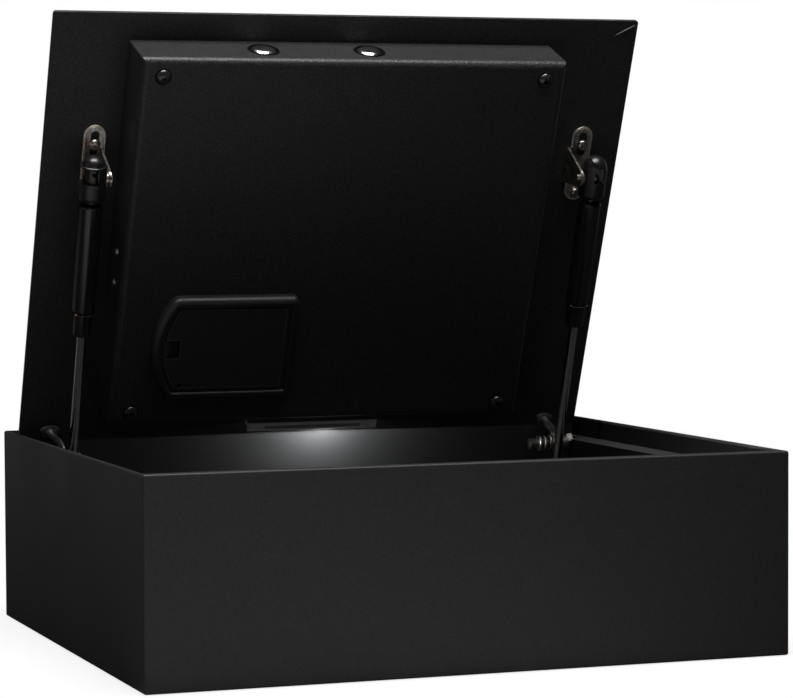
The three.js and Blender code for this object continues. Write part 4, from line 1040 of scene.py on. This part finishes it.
def keyCap(number, x, y):
    low, high = keypad["base"] + keypad["height"] - 0.85, keypad["base"] + keypad["height"] + 0.6
    half = keypad["key"] / 2 - 0.35
    cap = prism(f"keypad_key_{number}", squareAround(x, y, half, 2.7), low, high)
    rounded(cap, 0.45, 3, 50)
    settle(cap, "lid", "black_plastic", plastic)
    text = bpy.data.curves.new(f"keypad_digit_{number}", "FONT")
    text.body = str(number)
    text.size = keypad["digit"]
    text.align_x = text.align_y = "CENTER"
    text.extrude = 0.05
    holder = newObject(f"keypad_digit_{number}", text)
    mesh = meshFrom(holder)
    bpy.data.objects.remove(holder)
    digit = newObject(f"keypad_digit_{number}", mesh)
    digit.data.transform(move(x, y, high + 0.02))
    settle(digit, "lid", "grey_plastic", digitPaint)


def overrideLock():
    cx, cy = keypad["lock"]
    top = keypad["base"] + keypad["height"]
    r = keypad["lockRadius"]
    profile = [(0, top - 22), (r, top - 22), (r, top - 0.6), (r - 0.6, top), (r - 1.6, top),
               (r - 1.9, top - 0.4), (0, top - 0.4)]
    plug = turned("key_lock_turned", profile, move(cx, cy, 0), 48)
    cam = block("cam", (cx - 3, cx + 11), around(cy, 3), (top - 24, top - 21.6))
    joinTo(plug, cam)
    keyhole = block("keyhole", around(cx, 0.7), around(cy, 3.8), (top - 8, top + 1))
    cutBy(plug, keyhole)
    settle(plug, "override_lock", "chrome", chrome, "key_lock")


keypadPanel()
keyPlaces = [(x, y) for y in keypad["rows"] for x in keypad["columns"]]
for number, (x, y) in enumerate(keyPlaces, 1):
    keyCap(number % 10, x, y)
overrideLock()
print("stage: keypad made")


# Solids that keep their own shape

plainNodes = {"strike_plate": coat, "side_rail_left": railPaintedShade, "side_rail_right": railPaintedShade,
              "floor_mat": foam, "lower_stud_left": zinc, "lower_stud_right": zinc, "bolt_carriage": zinc,
              "drive_pinion": zinc, "lock_motor": zinc, "circuit_board": board}
plainNodes.update({f"battery_cell_{i}": wrap for i in range(1, 5)})
for name, finish in plainNodes.items():
    node = cadNodes[name]
    node.data.materials.clear()
    node.data.materials.append(finish)
print("stage: plain solids dressed")


# Studio

studio = {"floor": 30, "fill": 0.01, "gloss": 0.01, "floorTone": (0.03, 0.8), "floorGlow": (0.8, 1.0),
          "fade": (0.5, 1.1),  # a card is its brightness, then each edge's axis, start and end
          "cards": {"front": (0.42, ((0, -1.0, -0.7), (0, 0.30, 0.01), (1, -0.12, -0.25), (1, -1.4, -0.8))),
                    "left": (0.17, ((0, -0.45, -0.85), (1, 0.15, 0.6)))}}
lamps = {
    "topLight": {"spot": (-0.1, -0.5, 2.3), "target": (0, 0, 0.2), "size": (1.6, 1.2), "power": 88},
    "backLeftLight": {"spot": (-1.1, 2.6, 0.1), "target": (-0.2, 0, 0.07), "size": (1.2, 0.2), "power": 0.35},
    "frontLight": {"spot": (-1.4, -2.7, 1.9), "target": (0, 0, 0.15), "size": (1.2, 1.2), "power": 2},
    "rightLight": {"spot": (1.8, 0.8, 0.5), "target": (0.18, 0.05, 0.3), "size": (0.35, 1.0), "power": 0.6},
    "warmPanel": {"spot": (-1.66, -0.15, 0.4), "target": (-0.17, 0, 0.3), "size": (0.7, 1.0), "power": 1.3,
                  "colour": (1.0, 0.47, 0.25), "sheenOnly": True},
}
view = {"spot": (-0.6358, -1.7887, 0.2746), "turns": (19.952, 2.838, -0.301), "lens": 137.1, "sensor": 36}


def camera():
    yaw, pitch, roll = view["turns"]
    data = bpy.data.cameras.new("studioCamera")
    data.lens, data.sensor_width, data.clip_end = view["lens"], view["sensor"], 2 * studio["floor"]
    lens = newObject("studioCamera", data)
    aim = turnAbout("Z", -yaw) @ turnAbout("X", 90 - pitch) @ turnAbout("Z", roll)
    lens.matrix_world = move(*view["spot"]) @ aim
    bpy.context.scene.camera = lens


def softBox(name, spot, target, size, power, colour=(1, 1, 1), sheenOnly=False):
    data = bpy.data.lights.new(name, "AREA")
    data.shape = "RECTANGLE"
    data.size, data.size_y = size
    data.energy = power
    data.color = colour
    lamp = newObject(name, data)
    lamp.visible_diffuse = not sheenOnly
    lamp.location = spot
    lamp.rotation_euler = (Vector(target) - Vector(spot)).to_track_quat("-Z", "Y").to_euler()


def world():
    # the camera sees white, the pieces see a dim room
    sky = bpy.data.worlds.new("studioWorld")
    bpy.context.scene.world = sky
    sky.use_nodes = True
    tree = sky.node_tree
    tree.nodes.clear()
    path = nodeIn(tree, "LightPath").outputs
    room, gloss, bright = [nodeIn(tree, "Background", {"Color": (1, 1, 1, 1), "Strength": power}).outputs[0]
                           for power in (studio["fill"], studio["gloss"], 1.0)]
    seen = nodeIn(tree, "MixShader", {"Fac": path["Is Glossy Ray"], 1: room, 2: gloss}).outputs[0]
    seen = nodeIn(tree, "MixShader", {"Fac": path["Is Camera Ray"], 1: seen, 2: bright}).outputs[0]
    nodeIn(tree, "OutputWorld", {"Surface": seen})


def floor():
    # lit by itself for the camera, more so away from the safe; other rays find it dim but for two pale cards
    half = studio["floor"] / 2
    ground = prism("studio_floor", [(-half, -half), (half, -half), (half, half), (-half, half)], -10, -0.5)
    ground.data.transform(Matrix.Diagonal((1, 1, 0.001, 1)))
    finish, tree, shader = shaderOf("studioFloor", (0.8, 0.8, 0.8), 0.9, 0.0, 0.0)
    toCamera = nodeIn(tree, "LightPath").outputs["Is Camera Ray"]
    where = nodeIn(tree, "TexCoord").outputs["Object"]
    place = nodeIn(tree, "SeparateXYZ", {0: where}).outputs
    tone, bright = studio["floorTone"]
    for card, edges in studio["cards"].values():
        for axis, start, end in edges:
            card = ranged(tree, place[axis], (start, end), (0, card), "SMOOTHSTEP")
        tone = nodeIn(tree, "Math", {0: tone, 1: card}, operation="ADD").outputs[0]
    tree.links.new(ranged(tree, toCamera, (0, 1), (tone, bright)), shader.inputs["Base Color"])
    away = nodeIn(tree, "VectorMath", {0: where}, operation="LENGTH").outputs["Value"]
    fade = ranged(tree, away, studio["fade"], studio["floorGlow"], "SMOOTHSTEP")
    share = nodeIn(tree, "Math", {0: fade, 1: toCamera}, operation="MULTIPLY")
    lit = nodeIn(tree, "Emission", {"Color": (1, 1, 1, 1)})
    mix = nodeIn(tree, "MixShader", {"Fac": share.outputs[0], 1: shader.outputs[0], 2: lit.outputs[0]})
    tree.links.new(mix.outputs[0], tree.nodes["Material Output"].inputs["Surface"])
    ground.data.materials.append(finish)


interior = {"height": 20, "cutOff": 294.0, "power": 0.42, "strip": 0.1, "stripHeight": 2.6,
            "colour": (0.96, 0.98, 1.0), "behind": 4.4}


def interiorLamps():
    # the wide lamp lights what lies past the bar's edge, the low one draws the bright line beside the bar
    x, y = lightBar["lamp"], lightBar["y"][0] + interior["behind"]
    wide = bpy.data.lights.new("interiorLamp", "SPOT")
    wide.energy = interior["power"]
    wide.spot_size = pi
    wide.spot_blend = 0.01
    wide.shadow_soft_size = 0.0006
    low = bpy.data.lights.new("interiorStrip", "POINT")
    low.energy = interior["strip"]
    low.shadow_soft_size = 0.0012
    for data, height in ((wide, interior["height"]), (low, interior["stripHeight"])):
        data.color = interior["colour"]
        lamp = newObject(data.name, data)
        spot = Vector((x, y, -height))
        past = Vector((0, height, y - interior["cutOff"]))
        turn = (lidFrame.to_3x3() @ past).to_track_quat("-Z", "Y")
        lamp.matrix_world = Matrix.LocRotScale(lidFrame @ spot, turn, None)
        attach(lamp, "lid")


camera()
world()
floor()
for name, lamp in lamps.items():
    softBox(name, **lamp)
interiorLamps()
bpy.context.scene.view_settings.view_transform = "Standard"
print("stage: studio set")
